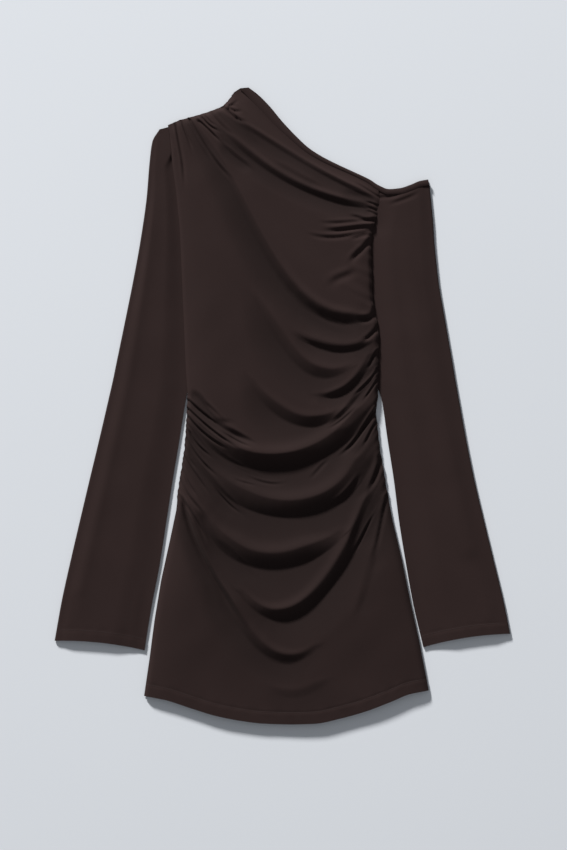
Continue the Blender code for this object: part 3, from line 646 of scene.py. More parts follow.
class NodeMaker:
    """Adds the nodes of one material."""

    def __init__(self, name: str) -> None:
        """Start a material with a Principled BSDF."""
        self.material = bpy.data.materials.new(name)
        self.material.use_nodes = True
        self.tree = self.material.node_tree
        self.shader = self.tree.nodes["Principled BSDF"]

    def node(self, kind: str, settings: dict, inputs: dict) -> bpy.types.Node:
        """Add a node.

        Args:
            kind: the node's type.
            settings: its properties, set first.
            inputs: values or links of its sockets, by name or number.

        Returns:
            The node.
        """
        node = self.tree.nodes.new(kind)
        for key, value in settings.items():
            setattr(node, key, value)
        for key, value in inputs.items():
            self.feed(node.inputs[key], value)
        return node

    def feed(self, socket: bpy.types.NodeSocket, value: object) -> None:
        """Link a wrapped value or a socket to an input, or set its constant.

        Args:
            socket: the input.
            value: what it takes.
        """
        if isinstance(value, ShaderValue):
            value = value.socket
        if isinstance(value, bpy.types.NodeSocket):
            self.tree.links.new(value, socket)
        else:
            socket.default_value = value

    def value(self, kind: str, settings: dict, inputs: dict, output: object = 0) -> ShaderValue:
        """Add a node and wrap one of its outputs."""
        return ShaderValue(self, self.node(kind, settings, inputs).outputs[output])

    def noise(self, scale: float, detail: float, where: bpy.types.NodeSocket) -> ShaderValue:
        """Noise from 0 to 1 at a scale per metre."""
        inputs = {"Scale": scale, "Detail": detail, "Vector": where}
        return self.value("ShaderNodeTexNoise", {}, inputs, "Fac")

    def blend(self, share: ShaderValue, low: tuple, high: tuple) -> bpy.types.NodeSocket:
        """Mix two colours by a share."""
        node = self.node("ShaderNodeMix", {"data_type": "RGBA"}, {0: share})
        node.inputs[6].default_value = (*low, 1.0)
        node.inputs[7].default_value = (*high, 1.0)
        return node.outputs[2]

    def tint(self, colour: bpy.types.NodeSocket, by: bpy.types.NodeSocket
             ) -> bpy.types.NodeSocket:
        """Multiply one colour by another."""
        settings = {"data_type": "RGBA", "blend_type": "MULTIPLY"}
        node = self.node("ShaderNodeMix", settings, {0: 1.0, 6: colour, 7: by})
        return node.outputs[2]

    def bump(self, height: ShaderValue, strength: float, distance: float) -> None:
        """Feed the shader's normal from a height."""
        inputs = {"Height": height, "Strength": strength, "Distance": distance}
        self.feed(self.shader.inputs["Normal"],
                  self.node("ShaderNodeBump", {}, inputs).outputs["Normal"])

    def constants(self, **values: object) -> None:
        """Set the shader's own sockets, underscores standing for spaces."""
        for key, value in values.items():
            self.shader.inputs[key.replace("_", " ")].default_value = value


@dataclass(frozen=True)
class JerseyFinish:
    """Matt fine jersey: brown black, with the grain of its loops and a short soft nap."""

    dark: tuple = (0.0198, 0.0110, 0.0103)
    light: tuple = (0.0308, 0.0178, 0.0166)
    wale: float = 0.00085
    course: float = 0.00065
    # Strength of the painted shade that darkens the folds' valleys
    painted_shade_strength: float = 0.44
    uv: str = "cloth"
    # Point attribute that masks the painted shade in the folds' valleys
    painted_fold_shade: str = "painted_fold_shade"

    def material(self, name: str) -> bpy.types.Material:
        """Make the cloth's material.

        The loops are the size of a sine across the wales plus one along the courses that is
        shifted half a turn on every second wale; fibre noise breaks them up. The base colour is
        darkened in the folds' valleys: painted shade that deepens their shadows.

        Args:
            name: of the material.

        Returns:
            The material.
        """
        maker = NodeMaker(name)
        uv = maker.node("ShaderNodeUVMap", {"uv_map": self.uv}, {})
        place = maker.node("ShaderNodeTexCoord", {}, {}).outputs["Object"]
        parts = maker.node("ShaderNodeSeparateXYZ", {}, {0: uv.outputs["UV"]})
        across = ShaderValue(maker, parts.outputs[0]) * (math.pi / self.wale)
        along = ShaderValue(maker, parts.outputs[1]) * (math.pi / self.course)
        wales = across.wave().size()
        courses = (along + wales * 1.2).wave().size()
        fibre = maker.noise(2600.0, 3.0, place)
        patch = maker.noise(14.0, 3.0, place)
        tone = patch * 0.45 + fibre * 0.35 + courses * wales * 0.2
        # Painted shade: the base colour is multiplied down towards black where the folds' valleys
        # lie
        settings = {"attribute_name": self.painted_fold_shade}
        painted_darkening = maker.value("ShaderNodeAttribute", settings, {}, "Fac") ** 0.45 * self.painted_shade_strength
        cloth = maker.blend(tone, self.dark, self.light)
        painted_shade_tint = maker.blend(1.0 - painted_darkening, (0.0, 0.0, 0.0), (1.0, 1.0, 1.0))
        maker.feed(maker.shader.inputs["Base Color"], maker.tint(cloth, painted_shade_tint))
        maker.feed(maker.shader.inputs["Roughness"], 0.82 + fibre * 0.12)
        maker.bump(wales * 0.5 + courses * 0.35 + fibre * 0.5, 0.35, 0.00022)
        maker.constants(
            Specular_IOR_Level=0.14, Sheen_Weight=0.07, Sheen_Roughness=0.45,
            Sheen_Tint=(0.55, 0.42, 0.40, 1.0))
        return maker.material


@dataclass(frozen=True)
class ThreadFinish:
    """Spun sewing thread a shade lighter than the cloth."""

    dark: tuple = (0.024, 0.015, 0.014)
    light: tuple = (0.046, 0.030, 0.028)
    twist: float = 2600.0

    def material(self, name: str) -> bpy.types.Material:
        """Make the thread's material: fine noise for the twist of its plies.

        Args:
            name: of the material.

        Returns:
            The material.
        """
        maker = NodeMaker(name)
        place = maker.node("ShaderNodeTexCoord", {}, {}).outputs["Object"]
        twist = maker.noise(self.twist, 1.0, place)
        maker.feed(maker.shader.inputs["Base Color"], maker.blend(twist, self.dark, self.light))
        maker.bump(twist, 0.3, 0.00008)
        maker.constants(Roughness=0.6, Specular_IOR_Level=0.3)
        return maker.material


@dataclass(frozen=True)
class FloorFinish:
    """Pale blue grey studio board."""

    dark: tuple = (0.690, 0.722, 0.768)
    light: tuple = (0.715, 0.745, 0.790)

    def material(self, name: str) -> bpy.types.Material:
        """Make the board's material: one pale tone with a barely seen cloudiness.

        Args:
            name: of the material.

        Returns:
            The material.
        """
        maker = NodeMaker(name)
        place = maker.node("ShaderNodeTexCoord", {}, {}).outputs["Object"]
        cloud = maker.noise(1.4, 2.0, place)
        maker.feed(maker.shader.inputs["Base Color"], maker.blend(cloud, self.dark, self.light))
        maker.constants(Roughness=0.9, Specular_IOR_Level=0.1)
        return maker.material


def grid_faces(rows: int, columns: int) -> np.ndarray:
    """Corner numbers of a grid's quads, facing up when rows go down and columns go right."""
    index = np.arange(rows * columns).reshape(rows, columns)
    return np.stack([index[:-1, :-1], index[1:, :-1], index[1:, 1:], index[:-1, 1:]],
                    axis=-1).reshape(-1, 4)


def mesh_object(name: str, points: np.ndarray, faces: np.ndarray) -> bpy.types.Object:
    """Put points in mm and their quads into a smooth mesh object with a crisp rim, at the origin.

    Args:
        name: of the object.
        points: places in mm.
        faces: corner numbers of each quad.

    Returns:
        The object.
    """
    mesh = bpy.data.meshes.new(name)
    mesh.from_pydata((points.reshape(-1, 3) * MM).tolist(), [], faces.tolist())
    mesh.polygons.foreach_set("use_smooth", np.ones(len(mesh.polygons), dtype=bool))
    edges = np.zeros(len(mesh.loops), dtype=np.int32)
    mesh.loops.foreach_get("edge_index", edges)
    rim = np.bincount(edges, minlength=len(mesh.edges)) == 1
    mesh.attributes.new("sharp_edge", "BOOLEAN", "EDGE").data.foreach_set("value", rim)
    mesh.update()
    obj = bpy.data.objects.new(name, mesh)
    bpy.context.scene.collection.objects.link(obj)
    return obj


@dataclass
class ClothPiece:
    """A cut piece of jersey: a point grid that becomes a thin closed sheet."""

    name: str
    node: str
    flat: tuple
    area: float
    held: Held
    rests_on: tuple
    thickness: float = 0.8

    def points(self) -> np.ndarray:
        """The outer face's grid of points in mm."""
        raise NotImplementedError

    def painted_fold_shade(self, grid: np.ndarray) -> np.ndarray:
        """How much painted shade darkens the base colour at each point, from 0 to 1."""
        return np.zeros(grid.shape[:2])

    def build(self) -> bpy.types.Object:
        """Make the sheet: the outer face with a wall laid on its inner side."""
        grid = self.points()
        obj = mesh_object(self.name, grid, grid_faces(*grid.shape[:2]))
        # Mask of the painted shade in the folds' valleys, read by the cloth material
        painted_fold_shade = obj.data.attributes.new(JerseyFinish.painted_fold_shade, "FLOAT", "POINT")
        painted_fold_shade.data.foreach_set("value", self.painted_fold_shade(grid).ravel())
        across = lengths(grid, 1)
        down = lengths(grid, 0)
        uv = np.stack([across, down], axis=-1).reshape(-1, 2) * MM
        layer = obj.data.uv_layers.new(name=JerseyFinish.uv)
        corners = np.zeros(len(obj.data.loops), dtype=np.int32)
        obj.data.loops.foreach_get("vertex_index", corners)
        layer.data.foreach_set("uv", uv[corners].ravel())
        wall = obj.modifiers.new("cloth", "SOLIDIFY")
        wall.thickness = self.thickness * MM
        wall.offset = -1.0
        return obj

    def dress(self, finish: JerseyFinish) -> bpy.types.Object:
        """Build the piece, give it its cloth and put it in its node's place.

        Args:
            finish: of the cloth.

        Returns:
            The finished object.
        """
        obj = self.build()
        obj.data.materials.append(finish.material(self.name + "_jersey"))
        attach(obj, "root")
        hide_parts(self.node)
        self.node + "_cloth"
        LOG.info("%s: %d faces", self.name, len(obj.data.polygons))
        return obj


@dataclass
class BodyPanel(ClothPiece):
    """A panel of the body, whose grid rows follow the folds."""

    columns: int = 100
    share_of_rows: float = 1.0
    blend: float = 40.0
    underarm_y: float = 11.0
    corner_y: float = 356.0

    def column_shares(self) -> np.ndarray:
        """Column parameters, closer together at the gathered edges."""
        share = np.linspace(0.0, 1.0, self.columns + 1)
        return 0.72 * share + 0.28 * smooth_step(share)

    def row_keys(self) -> tuple:
        """Positions of the guide rows and of the grid's rows along them."""
        keys = np.concatenate(([0.0], np.cumsum([row[5] for row in GUIDE_ROWS[:-1]])))
        count = int(keys[-2] * self.share_of_rows)
        upper = np.linspace(0.0, keys[-2], count, endpoint=False)
        share = np.linspace(0.0, 1.0, int((keys[-1] - keys[-2]) * self.share_of_rows) + 1)
        lower = keys[-2] + (keys[-1] - keys[-2]) * (1.7 * share - 0.7 * share * share)
        return keys, np.concatenate([upper, lower])

    def inset(self, side: Side, y: np.ndarray) -> np.ndarray:
        """How far inside the edge table a side edge lies: nowhere, unless a panel says so."""
        return np.zeros_like(y)

    def plan(self) -> tuple:
        """Plan positions of the grid.

        Each row is the quadratic through its left, belly and right points; the first rows
        are blended to the neckline's seam and the last ones to the hem.

        Returns:
            x, y, and the y at which each row meets its left and its right edge.
        """
        u = self.column_shares()[None, :]
        keys, at = self.row_keys()
        left_y, belly_x, belly_y, right_y = (
            smooth_table(keys, [row[i] for row in GUIDE_ROWS], at) for i in (1, 2, 3, 4))
        left_x = edge_x(LEFT_EDGE, left_y) + self.inset(Side.LEFT, left_y)
        right_x = edge_x(RIGHT_EDGE, right_y) - self.inset(Side.RIGHT, right_y)
        weights = ((1.0 - u) * (1.0 - 2.0 * u), 4.0 * u * (1.0 - u), u * (2.0 * u - 1.0))
        x = sum(w * v[:, None] for w, v in zip(weights, (left_x, belly_x, right_x)))
        y = sum(w * v[:, None] for w, v in zip(weights, (left_y, belly_y, right_y)))
        neckline = Neckline()
        neck = neckline.at(neckline.stations(u[0], right_x[0]))[2]
        fade = 1.0 - smooth_step(at / self.blend)[:, None]
        x += (neck[:, 0] - x[0])[None, :] * fade
        y += (neck[:, 1] - y[0])[None, :] * fade
        rows = np.array(HEM)
        length = np.concatenate(([0.0], np.cumsum(np.hypot(*np.diff(rows, axis=0).T))))
        fade = smooth_step((at - keys[-1] + self.blend) / self.blend)[:, None]
        x += (smooth_table(length, rows[:, 0], u[0] * length[-1]) - x[-1])[None, :] * fade
        y += (smooth_table(length, rows[:, 1], u[0] * length[-1]) - y[-1])[None, :] * fade
        x[1:-1, 0] = edge_x(LEFT_EDGE, y[1:-1, 0]) + self.inset(Side.LEFT, y[1:-1, 0])
        x[1:-1, -1] = edge_x(RIGHT_EDGE, y[1:-1, -1]) - self.inset(Side.RIGHT, y[1:-1, -1])
        return x, y, left_y, right_y


@dataclass
class FrontPanel(BodyPanel):
    """The draped front: folds hang from the shoulder and from the gathered side seams."""

    side_top: float = 2.8
    armhole_top: float = 4.3
    neck_top: float = 4.7
    floor_top: float = 4.2
    joined_y: float = 225.0
    pull: float = 0.9
    plump: float = 2.6
    deepest: float = 1.7
    hem_depth: float = 15.0
    hem_step: float = 0.2

    def gathers(self, x: np.ndarray, left_y: np.ndarray, right_y: np.ndarray) -> tuple:
        """Heights of the gathers of all seams, and how far each side edge is drawn in.

        Args:
            x: positions in mm.
            left_y: y at which each row meets its left edge.
            right_y: y at which each row meets its right edge.

        Returns:
            The heights, and for each side what every row is drawn in, in mm.
        """
        height = np.zeros(x.shape)
        drawn = np.zeros((2, len(left_y)))
        for row in GATHERS:
            run = GatherRun(*row)
            edge = left_y if run.side is Side.LEFT else right_y
            start = x[:, :1] if run.side is Side.LEFT else x[:, -1:]
            part, held = run.shape(edge, np.abs(x - start))
            height += part
            drawn[run.side.value] += self.pull * held
        return height, drawn

    def points(self) -> np.ndarray:
        """The front's outer face.

        Height = edge height + loft times what the valleys leave + ridges + gathers, with the
        loft fading to nothing at the side edges and the neckline at its own height.
        """
        x, y, left_y, right_y = self.plan()
        u = self.column_shares()[None, :]
        gathers, drawn = self.gathers(x, left_y, right_y)
        x[:, 0] -= drawn[0]
        x[:, -1] += drawn[1]
        below = smooth_step((self.underarm_y - np.stack([left_y, right_y])) / 60.0 + 0.4)
        shoulder = smooth_step((left_y - self.corner_y) / 14.0)
        drop = self.side_top - self.armhole_top
        edge_left = self.armhole_top + drop * np.maximum(below[0], shoulder)
        joined = smooth_step((right_y - self.joined_y) / 25.0)
        edge_right = self.armhole_top + drop * np.maximum(below[1], 0.8 * joined)
        edge = edge_left[:, None] * (1.0 - u) + edge_right[:, None] * u
        inside = 1.0 - np.abs(2.0 * u - 1.0) ** 6
        rim = 1.0 - np.abs(2.0 * u - 1.0) ** 4
        table = np.array(LOFT)
        loft = smooth_table(table[:, 0], table[:, 1], y)
        left, lift = self.folds(x, y)
        z = edge + (self.floor_top - edge) * inside
        z += loft * inside * left + lift * rim + gathers * (0.35 + 0.65 * rim)
        z += self.seam_roll(x - x[:, :1], 0.45 + 0.55 * np.maximum(below[0], shoulder))
        z += self.seam_roll(x[:, -1:] - x, 1.0 - 0.6 * joined)
        z += 0.3 * inside * undulation(x, y)
        creases = sum(Crease.from_row(in_mm(row)).shape(x, y) for row in CREASES)
        z += np.maximum(creases, self.deepest - z)
        at = self.row_keys()[1]
        from_neck = smooth_step(at / 16.0)[:, None]
        neck = self.neck_top + (self.side_top - self.neck_top) * np.exp(-(u / 0.06) ** 2)
        z = neck * (1.0 - from_neck) + z * from_neck
        return self.hem(np.stack([x, y, z], axis=-1))

    def folds(self, x: np.ndarray, y: np.ndarray) -> tuple:
        """Product of the heights that the folds leave, and the sum of their ridges.

        Args:
            x: positions in mm.
            y: positions in mm.

        Returns:
            The share of the height left and the ridges' lift in mm.
        """
        left = np.ones(x.shape)
        lift = np.zeros(x.shape)
        for row in FOLDS:
            share, rise = Fold.from_row(in_mm(row)).shape(x, y)
            left *= share
            lift += rise
        return left, lift

    def painted_fold_shade(self, grid: np.ndarray) -> np.ndarray:
        """Painted shade: the share of height that the folds' valleys take away darkens the colour.
        """
        return 1.0 - self.folds(grid[..., 0], grid[..., 1])[0]

    def seam_roll(self, side: np.ndarray, share: np.ndarray) -> np.ndarray:
        """Plump roll of the gathered cloth beside a seam: a steep rise that dies out slowly.

        Args:
            side: distance of each point from the seam in mm.
            share: of the full roll at each row.

        Returns:
            The height in mm.
        """
        roll = (1.0 - np.exp(-(side / 2.2) ** 2)) * np.exp(-(side / 40.0) ** 2)
        return self.plump * share[:, None] * roll

    def hem(self, grid: np.ndarray) -> np.ndarray:
        """Raise the turned hem and pucker the cloth along its stitch line.

        Args:
            grid: points of the outer face, the hem in the last row.

        Returns:
            The points with the hem's relief.
        """
        up = lengths(grid[::-1], 0)[::-1]
        along = lengths(grid, 1)[-1][None, :]
        turned = smooth_step((self.hem_depth + 1.0 - up) / 2.0)
        waves = np.sin(along / 4.1 + 1.3 * np.sin(along / 17.0))
        pucker = 0.22 * waves * np.exp(-((up - self.hem_depth) / 5.0) ** 2)
        dent = 0.35 * np.exp(-((up - self.hem_depth) / 1.6) ** 2)
        grid[..., 2] += self.hem_step * turned + pucker - dent
        return grid


@dataclass
class BackPanel(BodyPanel):
    """The smooth back that the dress lies on."""

    columns: int = 40
    share_of_rows: float = 0.3
    side_inset: float = 0.6
    turned_up: float = 1.0
    seam_gap: float = 0.95

    def inset(self, side: Side, y: np.ndarray) -> np.ndarray:
        """How far in the edge lies: beside a sleeve at the sleeve's inner edge, else a little.

        Args:
            side: of the body.
            y: of each row on that edge.

        Returns:
            The inset in mm.
        """
        stations = LEFT_SLEEVE if side is Side.LEFT else RIGHT_SLEEVE
        edge = LEFT_EDGE if side is Side.LEFT else RIGHT_EDGE
        sign = 1.0 if side is Side.LEFT else -1.0
        table = np.array(stations)
        beside = sign * (np.interp(-y, -table[:, 3], table[:, 2]) - edge_x(edge, y))
        outside = (y > table[0, 3] + 2.0) | (y < table[-1, 3])
        return np.maximum(np.where(outside, 0.0, beside + self.seam_gap), self.side_inset)

    def points(self) -> np.ndarray:
        """The back's inner face: level, with its side edges turned up to the seams."""
        x, y = self.plan()[:2]
        side = np.minimum(x - x[:, :1], x[:, -1:] - x)
        z = self.thickness + self.turned_up * np.exp(-(side / 2.5) ** 2)
        return np.stack([x, y, z], axis=-1)


@dataclass
class Sleeve(ClothPiece):
    """A sleeve: one strip folded along its outer side, its edges meeting at the inner side."""

    stations: Table = LEFT_SLEEVE
    rows: int = 230
    fold_radius: float = 1.8
    lap: float = 4.0
    edge_top: float = 2.2
    edge_rise: float = 0.0
    head_y: float = 300.0
    joined_y: float = 225.0
    seam_rise: float = 0.3
    layer_steps: int = 46
    back_steps: int = 16
    fold_steps: int = 10
    cuff_depth: float = 14.0

    def axis(self) -> list:
        """Columns of the station table at every row of the grid."""
        table = np.array(self.stations)
        keys = np.arange(len(table), dtype=float)
        share = np.linspace(0.0, 1.0, self.rows + 1)
        at = keys[-1] * (1.25 * share - 0.25 * share * share)
        return [smooth_table(keys, table[:, i], at)[:, None] for i in range(table.shape[1])]

    def soft_folds(self, x: np.ndarray, y: np.ndarray) -> np.ndarray:
        """Lift of the soft folds: bell curves across quadratics through three points.

        Args:
            x: positions in mm.
            y: positions in mm.

        Returns:
            The lift in mm.
        """
        height = np.zeros(x.shape)
        t = np.linspace(0.0, 1.0, 14)
        weights = ((1.0 - t) * (1.0 - 2.0 * t), 4.0 * t * (1.0 - t), t * (2.0 * t - 1.0))
        for row in SLEEVE_FOLDS:
            line = np.stack([sum(w * row[i + k] for w, i in zip(weights, (0, 2, 4)))
                             for k in (0, 1)], axis=1)
            away, share = signed_distance(line, x, y)
            fade = np.where(share <= 0.0, 0.0, np.minimum(1.0, 4.0 * share))
            height += row[7] * fade * np.exp(-(away / row[6]) ** 2)
        return height

    def points(self) -> np.ndarray:
        """The strip's outer face.

        Each row goes from the inner edge over the back layer, round a half circle at the
        outer fold and back over the front layer, which stands up softly in the middle.
        """
        outer_x, outer_y, inner_x, inner_y, loft, bow = self.axis()
        width = np.hypot(outer_x - inner_x, outer_y - inner_y)
        flat = 1.0 - self.fold_radius / width
        lap = self.lap / width
        angle = np.linspace(-0.5 * math.pi, 0.5 * math.pi, self.fold_steps + 1)[None, 1:-1]
        none = np.zeros_like(lap)
        front = lap + (flat - lap) * np.linspace(0.0, 1.0, self.layer_steps)[None, :]
        share = np.concatenate([
            none, lap + (flat - lap) * np.linspace(0.0, 1.0, self.back_steps)[None, :],
            1.0 - self.fold_radius * (1.0 - np.cos(angle)) / width,
            front[:, ::-1], none,
        ], axis=1)
        x = inner_x + (outer_x - inner_x) * share
        y = inner_y + (outer_y - inner_y) * share + bow * 4.0 * share * (1.0 - share)
        head = smooth_step((inner_y - self.head_y) / 25.0)
        slope = 0.35 * width * (1.0 - head) + 2.5 * head
        rise = smooth_step((share * width - self.lap * (1.0 - 0.8 * head)) / slope)
        fall = smooth_step((flat - share) / 0.22)
        edge = self.edge_top + self.edge_rise * smooth_step((inner_y - self.joined_y) / 25.0) - head
        top = edge + (loft - edge) * rise
        top = top * fall + 2.0 * self.fold_radius * (1.0 - fall)
        top = top + (self.soft_folds(x, y) + 0.25 * undulation(x, y)) * rise * fall
        first = self.back_steps + 1
        z = np.zeros(x.shape)
        z[:, 0] = self.seam_rise
        z[:, first:first + self.fold_steps - 1] = self.fold_radius * (1.0 + np.sin(angle))
        z[:, first + self.fold_steps - 1:] = top[:, first + self.fold_steps - 1:]
        return self.cuff(np.stack([x, y, z], axis=-1), first + self.fold_steps)

    def cuff(self, grid: np.ndarray, first: int) -> np.ndarray:
        """Raise the turned cuff of the front layer and pucker it along its stitch line.

        Args:
            grid: points of the strip, the cuff in the last row.
            first: first column of the front layer.

        Returns:
            The points with the cuff's relief.
        """
        up = lengths(grid[::-1], 0)[::-1][:, first:]
        along = lengths(grid, 1)[-1][None, first:]
        turned = smooth_step((self.cuff_depth + 1.0 - up) / 2.0)
        waves = np.sin(along / 3.7 + 1.1 * np.sin(along / 13.0))
        pucker = 0.16 * waves * np.exp(-((up - self.cuff_depth) / 5.0) ** 2)
        dent = 0.3 * np.exp(-((up - self.cuff_depth) / 1.6) ** 2)
        grid[:, first:, 2] += 0.3 * turned + pucker - dent
        return grid


@dataclass
class OffShoulderSleeve(Sleeve):
    """The sleeve of the bare shoulder: its open top edge follows the neckline band."""

    stations: Table = RIGHT_SLEEVE
    edge_rise: float = 1.2

    def points(self) -> np.ndarray:
        """The strip with its top rows bent to the band's seam line, its columns reversed."""
        grid = super().points()
        step = np.linspace(0.0, 26.0, len(grid))
        fade = 1.0 - smooth_step(step / 5.0)[:, None]
        seam = Neckline().at(grid[0, :, 0])[2][:, 1]
        grid[..., 1] += (seam - grid[0, :, 1])[None, :] * fade
        front = grid[:, -self.layer_steps - 1:-1]
        for row in SLEEVE_CREASES:
            front[..., 2] += Crease.from_row(row).shape(front[..., 0], front[..., 1])
        return grid[:, ::-1]


@dataclass
class NeckBand(ClothPiece):
    """The turned, softly rolled edge along the neckline and the off-shoulder sleeve."""

    top: float = 5.5
    crown: float = 0.7
    stations: int = 260
    across: int = 10
    end_x: float = 186.3

    def points(self) -> np.ndarray:
        """The band's outer face: straight across between its lines, arched as a parabola."""
        x = Neckline().stations(np.linspace(0.0, 1.0, self.stations), self.end_x)
        outer, inner, _ = Neckline().at(x)
        share = np.linspace(1.0, 0.0, self.across + 1)
        plan = inner[:, None, :] * share[None, :, None] + outer[:, None, :] * (
            1.0 - share[None, :, None])
        z = self.top - self.crown * (2.0 * share - 1.0) ** 2
        z = np.broadcast_to(z, plan.shape[:2])
        return np.concatenate([plan, z[..., None]], axis=-1)


@dataclass
class StitchRow:
    """A row of topstitching: short rounded stitches sunk a little into the cloth."""

    name: str
    slot: str
    depth: float
    pitch: float = 3.0
    length: float = 2.2
    radius: float = 0.24
    sides: int = 6

    def path(self, grid: np.ndarray) -> np.ndarray:
        """Points of the cloth's face that lie the row's depth above the grid's last row.

        Along each column the cloth length is measured up from the edge, and the point at the
        depth is interpolated.

        Args:
            grid: points of the cloth's outer face, its edge in the last row.

        Returns:
            One point for each column.
        """
        up = lengths(grid[::-1], 0)
        index = np.argmax(up >= self.depth, axis=0)
        column = np.arange(grid.shape[1])
        low, high = up[index - 1, column], up[index, column]
        t = ((self.depth - low) / (high - low))[:, None]
        turned = grid[::-1]
        return turned[index - 1, column] * (1.0 - t) + turned[index, column] * t

    def build(self, grid: np.ndarray) -> bpy.types.Object:
        """Carry one stitch along the path.

        A stitch is a tube whose radius follows a half sine from end to end; its ends dip into
        the cloth.

        Args:
            grid: points of the cloth's outer face, its edge in the last row.

        Returns:
            The mesh of all stitches.
        """
        path = self.path(grid)
        length = np.concatenate(([0.0], np.cumsum(np.linalg.norm(np.diff(path, axis=0), axis=1))))
        centres = np.arange(self.pitch, length[-1] - self.pitch, self.pitch)
        share = np.array([-0.5, -0.38, 0.0, 0.38, 0.5])
        at = centres[:, None] + share[None, :] * self.length
        spine = np.stack([np.interp(at, length, path[:, k]) for k in range(3)], axis=-1)
        swell = np.array([0.15, 0.8, 1.0, 0.8, 0.15])
        spine[..., 2] += 0.16 * swell[None, :] - 0.06
        tangent = spine[:, -1] - spine[:, 0]
        tangent /= np.linalg.norm(tangent, axis=1)[:, None]
        side = np.cross(np.array([0.0, 0.0, 1.0]), tangent)
        side /= np.linalg.norm(side, axis=1)[:, None]
        rise = np.cross(tangent, side)
        turn = np.linspace(0.0, 2.0 * math.pi, self.sides, endpoint=False)
        ring = side[:, None, None] * np.cos(turn)[None, None, :, None]
        ring = ring + rise[:, None, None] * np.sin(turn)[None, None, :, None]
        points = spine[:, :, None] + self.radius * swell[None, :, None, None] * ring
        return mesh_object(self.name, points, self.faces(len(centres), len(share)))

    def faces(self, count: int, rings: int) -> np.ndarray:
        """Quads of every stitch's tube, its ends closed by two quads each.

        Args:
            count: of stitches.
            rings: of points along one stitch.

        Returns:
            Corner numbers of the quads.
        """
        index = np.arange(rings * self.sides).reshape(rings, self.sides)
        after = np.roll(index, -1, axis=1)
        wall = np.stack([index[:-1], after[:-1], after[1:], index[1:]], axis=-1).reshape(-1, 4)
        first, last = index[0], index[-1]
        caps = np.array([
            (first[3], first[2], first[1], first[0]), (first[0], first[5], first[4], first[3]),
            (last[0], last[1], last[2], last[3]), (last[3], last[4], last[5], last[0]),
        ])
        one = np.concatenate([wall, caps])
        shift = np.arange(count)[:, None, None] * rings * self.sides
        return (one[None] + shift).reshape(-1, 4)

    def dress(self, grid: np.ndarray, finish: ThreadFinish) -> bpy.types.Object:
        """Build the row, give it its thread and let it ride with the dress.

        Args:
            grid: points of the cloth's outer face, its edge in the last row.
            finish: of the thread.

        Returns:
            The finished object.
        """
        obj = self.build(grid)
        obj.data.materials.append(finish.material(self.name + "_thread"))
        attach(obj, "root")
        LOG.info("%s: %d faces", self.name, len(obj.data.polygons))
        return obj


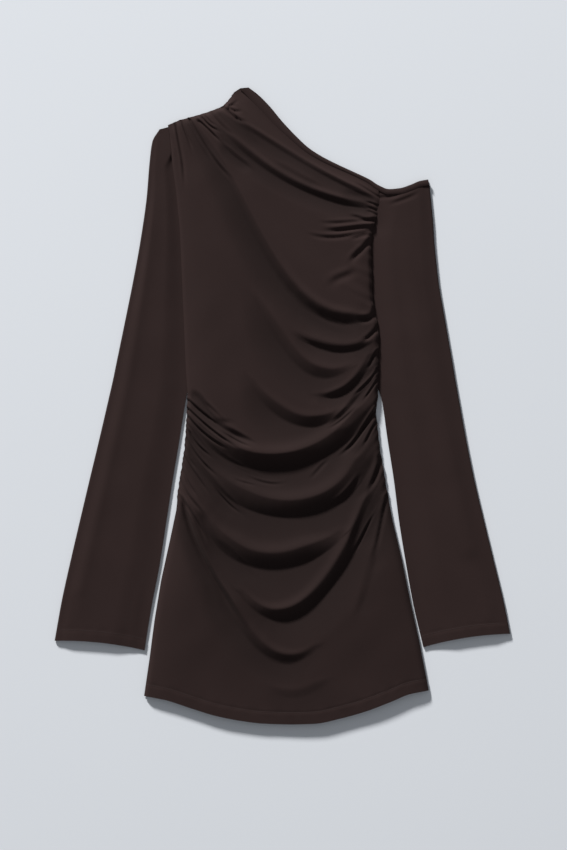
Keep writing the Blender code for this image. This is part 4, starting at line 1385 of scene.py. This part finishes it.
@dataclass
class Studio:
    """Pale board, a soft raking key light, an even fill and the camera straight above."""

    camera_height: float = 3.0
    frame_height: float = 1.0795
    centre: tuple = (0.0014, -0.0243)
    key_power: float = 3900.0
    key_distance: float = 14.0
    key_size: float = 2.0
    key_elevation: float = 20.5
    key_turn: float = 26.0
    fill: float = 0.27
    floor_size: float = 8.0
    floor_level: float = -0.2
    sensor: float = 24.0

    def floor(self, finish: FloorFinish) -> None:
        """Lay the board just under the dress.

        Args:
            finish: of the board.
        """
        half = 500.0 * self.floor_size
        corner = np.array([-half, half])
        x, y = np.meshgrid(corner, corner[::-1])
        level = np.full(x.shape, self.floor_level)
        board = mesh_object("studio_board", np.stack([x, y, level], axis=-1), grid_faces(2, 2))
        board.data.materials.append(finish.material("studio_board"))

    def lights(self) -> None:
        """Hang the key light up and to the left, and fill evenly from all round."""
        panel = bpy.data.lights.new("key", "AREA")
        panel.shape = "DISK"
        panel.size = self.key_size
        panel.energy = self.key_power
        panel.color = (1.0, 0.985, 0.965)
        key = bpy.data.objects.new("key", panel)
        rise = math.radians(self.key_elevation)
        turn = math.radians(self.key_turn)
        key.location = (
            -self.key_distance * math.cos(rise) * math.sin(turn),
            self.key_distance * math.cos(rise) * math.cos(turn),
            self.key_distance * math.sin(rise))
        key.rotation_euler = (rise - 0.5 * math.pi, 0.0, turn)
        bpy.context.scene.collection.objects.link(key)
        world = bpy.data.worlds.new("studio")
        world.use_nodes = True
        shade = world.node_tree.nodes["Background"]
        shade.inputs["Color"].default_value = (0.93, 0.96, 1.0, 1.0)
        shade.inputs["Strength"].default_value = self.fill
        bpy.context.scene.world = world

    def camera(self) -> None:
        """Look straight down, the photograph's top towards +Y."""
        lens = bpy.data.cameras.new("camera")
        lens.sensor_fit = "VERTICAL"
        lens.sensor_height = self.sensor
        lens.lens = self.sensor * self.camera_height / self.frame_height
        lens.clip_end = 50.0
        camera = bpy.data.objects.new("camera", lens)
        camera.location = (*self.centre, self.camera_height)
        bpy.context.scene.collection.objects.link(camera)
        bpy.context.scene.camera = camera


def main() -> None:
    """Build the dress's pieces, its stitching and the studio."""
    logging.basicConfig(level=logging.INFO, format="%(message)s")
    bpy.context.scene.view_settings.view_transform = "Standard"
    jersey = JerseyFinish()
    thread = ThreadFinish()
    front = FrontPanel("front_draped", "front_panel", (0.40, 0.95), 0.245, Held.GATHERED,
                       ("back_panel",))
    back = BackPanel("back_smooth", "back_panel", (0.37, 0.81), 0.200, Held.LAID, ())
    left = Sleeve("sleeve_left_tube", "sleeve_left", (0.236, 0.67), 0.115, Held.FOLDED, ())
    right = OffShoulderSleeve("sleeve_right_tube", "sleeve_right", (0.222, 0.60), 0.112,
                              Held.FOLDED, ())
    band = NeckBand("neckband_front_roll", "neckband_front", (0.010, 0.285), None, Held.FOLDED,
                    ("neckband_back",), thickness=0.9)
    under = NeckBand("neckband_back_roll", "neckband_back", (0.010, 0.285), None, Held.FOLDED,
                     (), thickness=0.9, top=2.4, crown=0.8)
    for piece in (front, back, left, right, band, under):
        piece.dress(jersey)
    StitchRow("hem_stitches", "front_panel_cloth", 15.0).dress(front.points(), thread)
    columns = slice(-right.layer_steps, None)
    StitchRow("cuff_stitches_left", "sleeve_left_cloth", 14.0).dress(
        left.points()[:, columns], thread)
    StitchRow("cuff_stitches_right", "sleeve_right_cloth", 14.0).dress(
        right.points()[:, :right.layer_steps], thread)
    studio = Studio()
    studio.floor(FloorFinish())
    studio.lights()
    studio.camera()


if __name__ == "__main__":
    main()
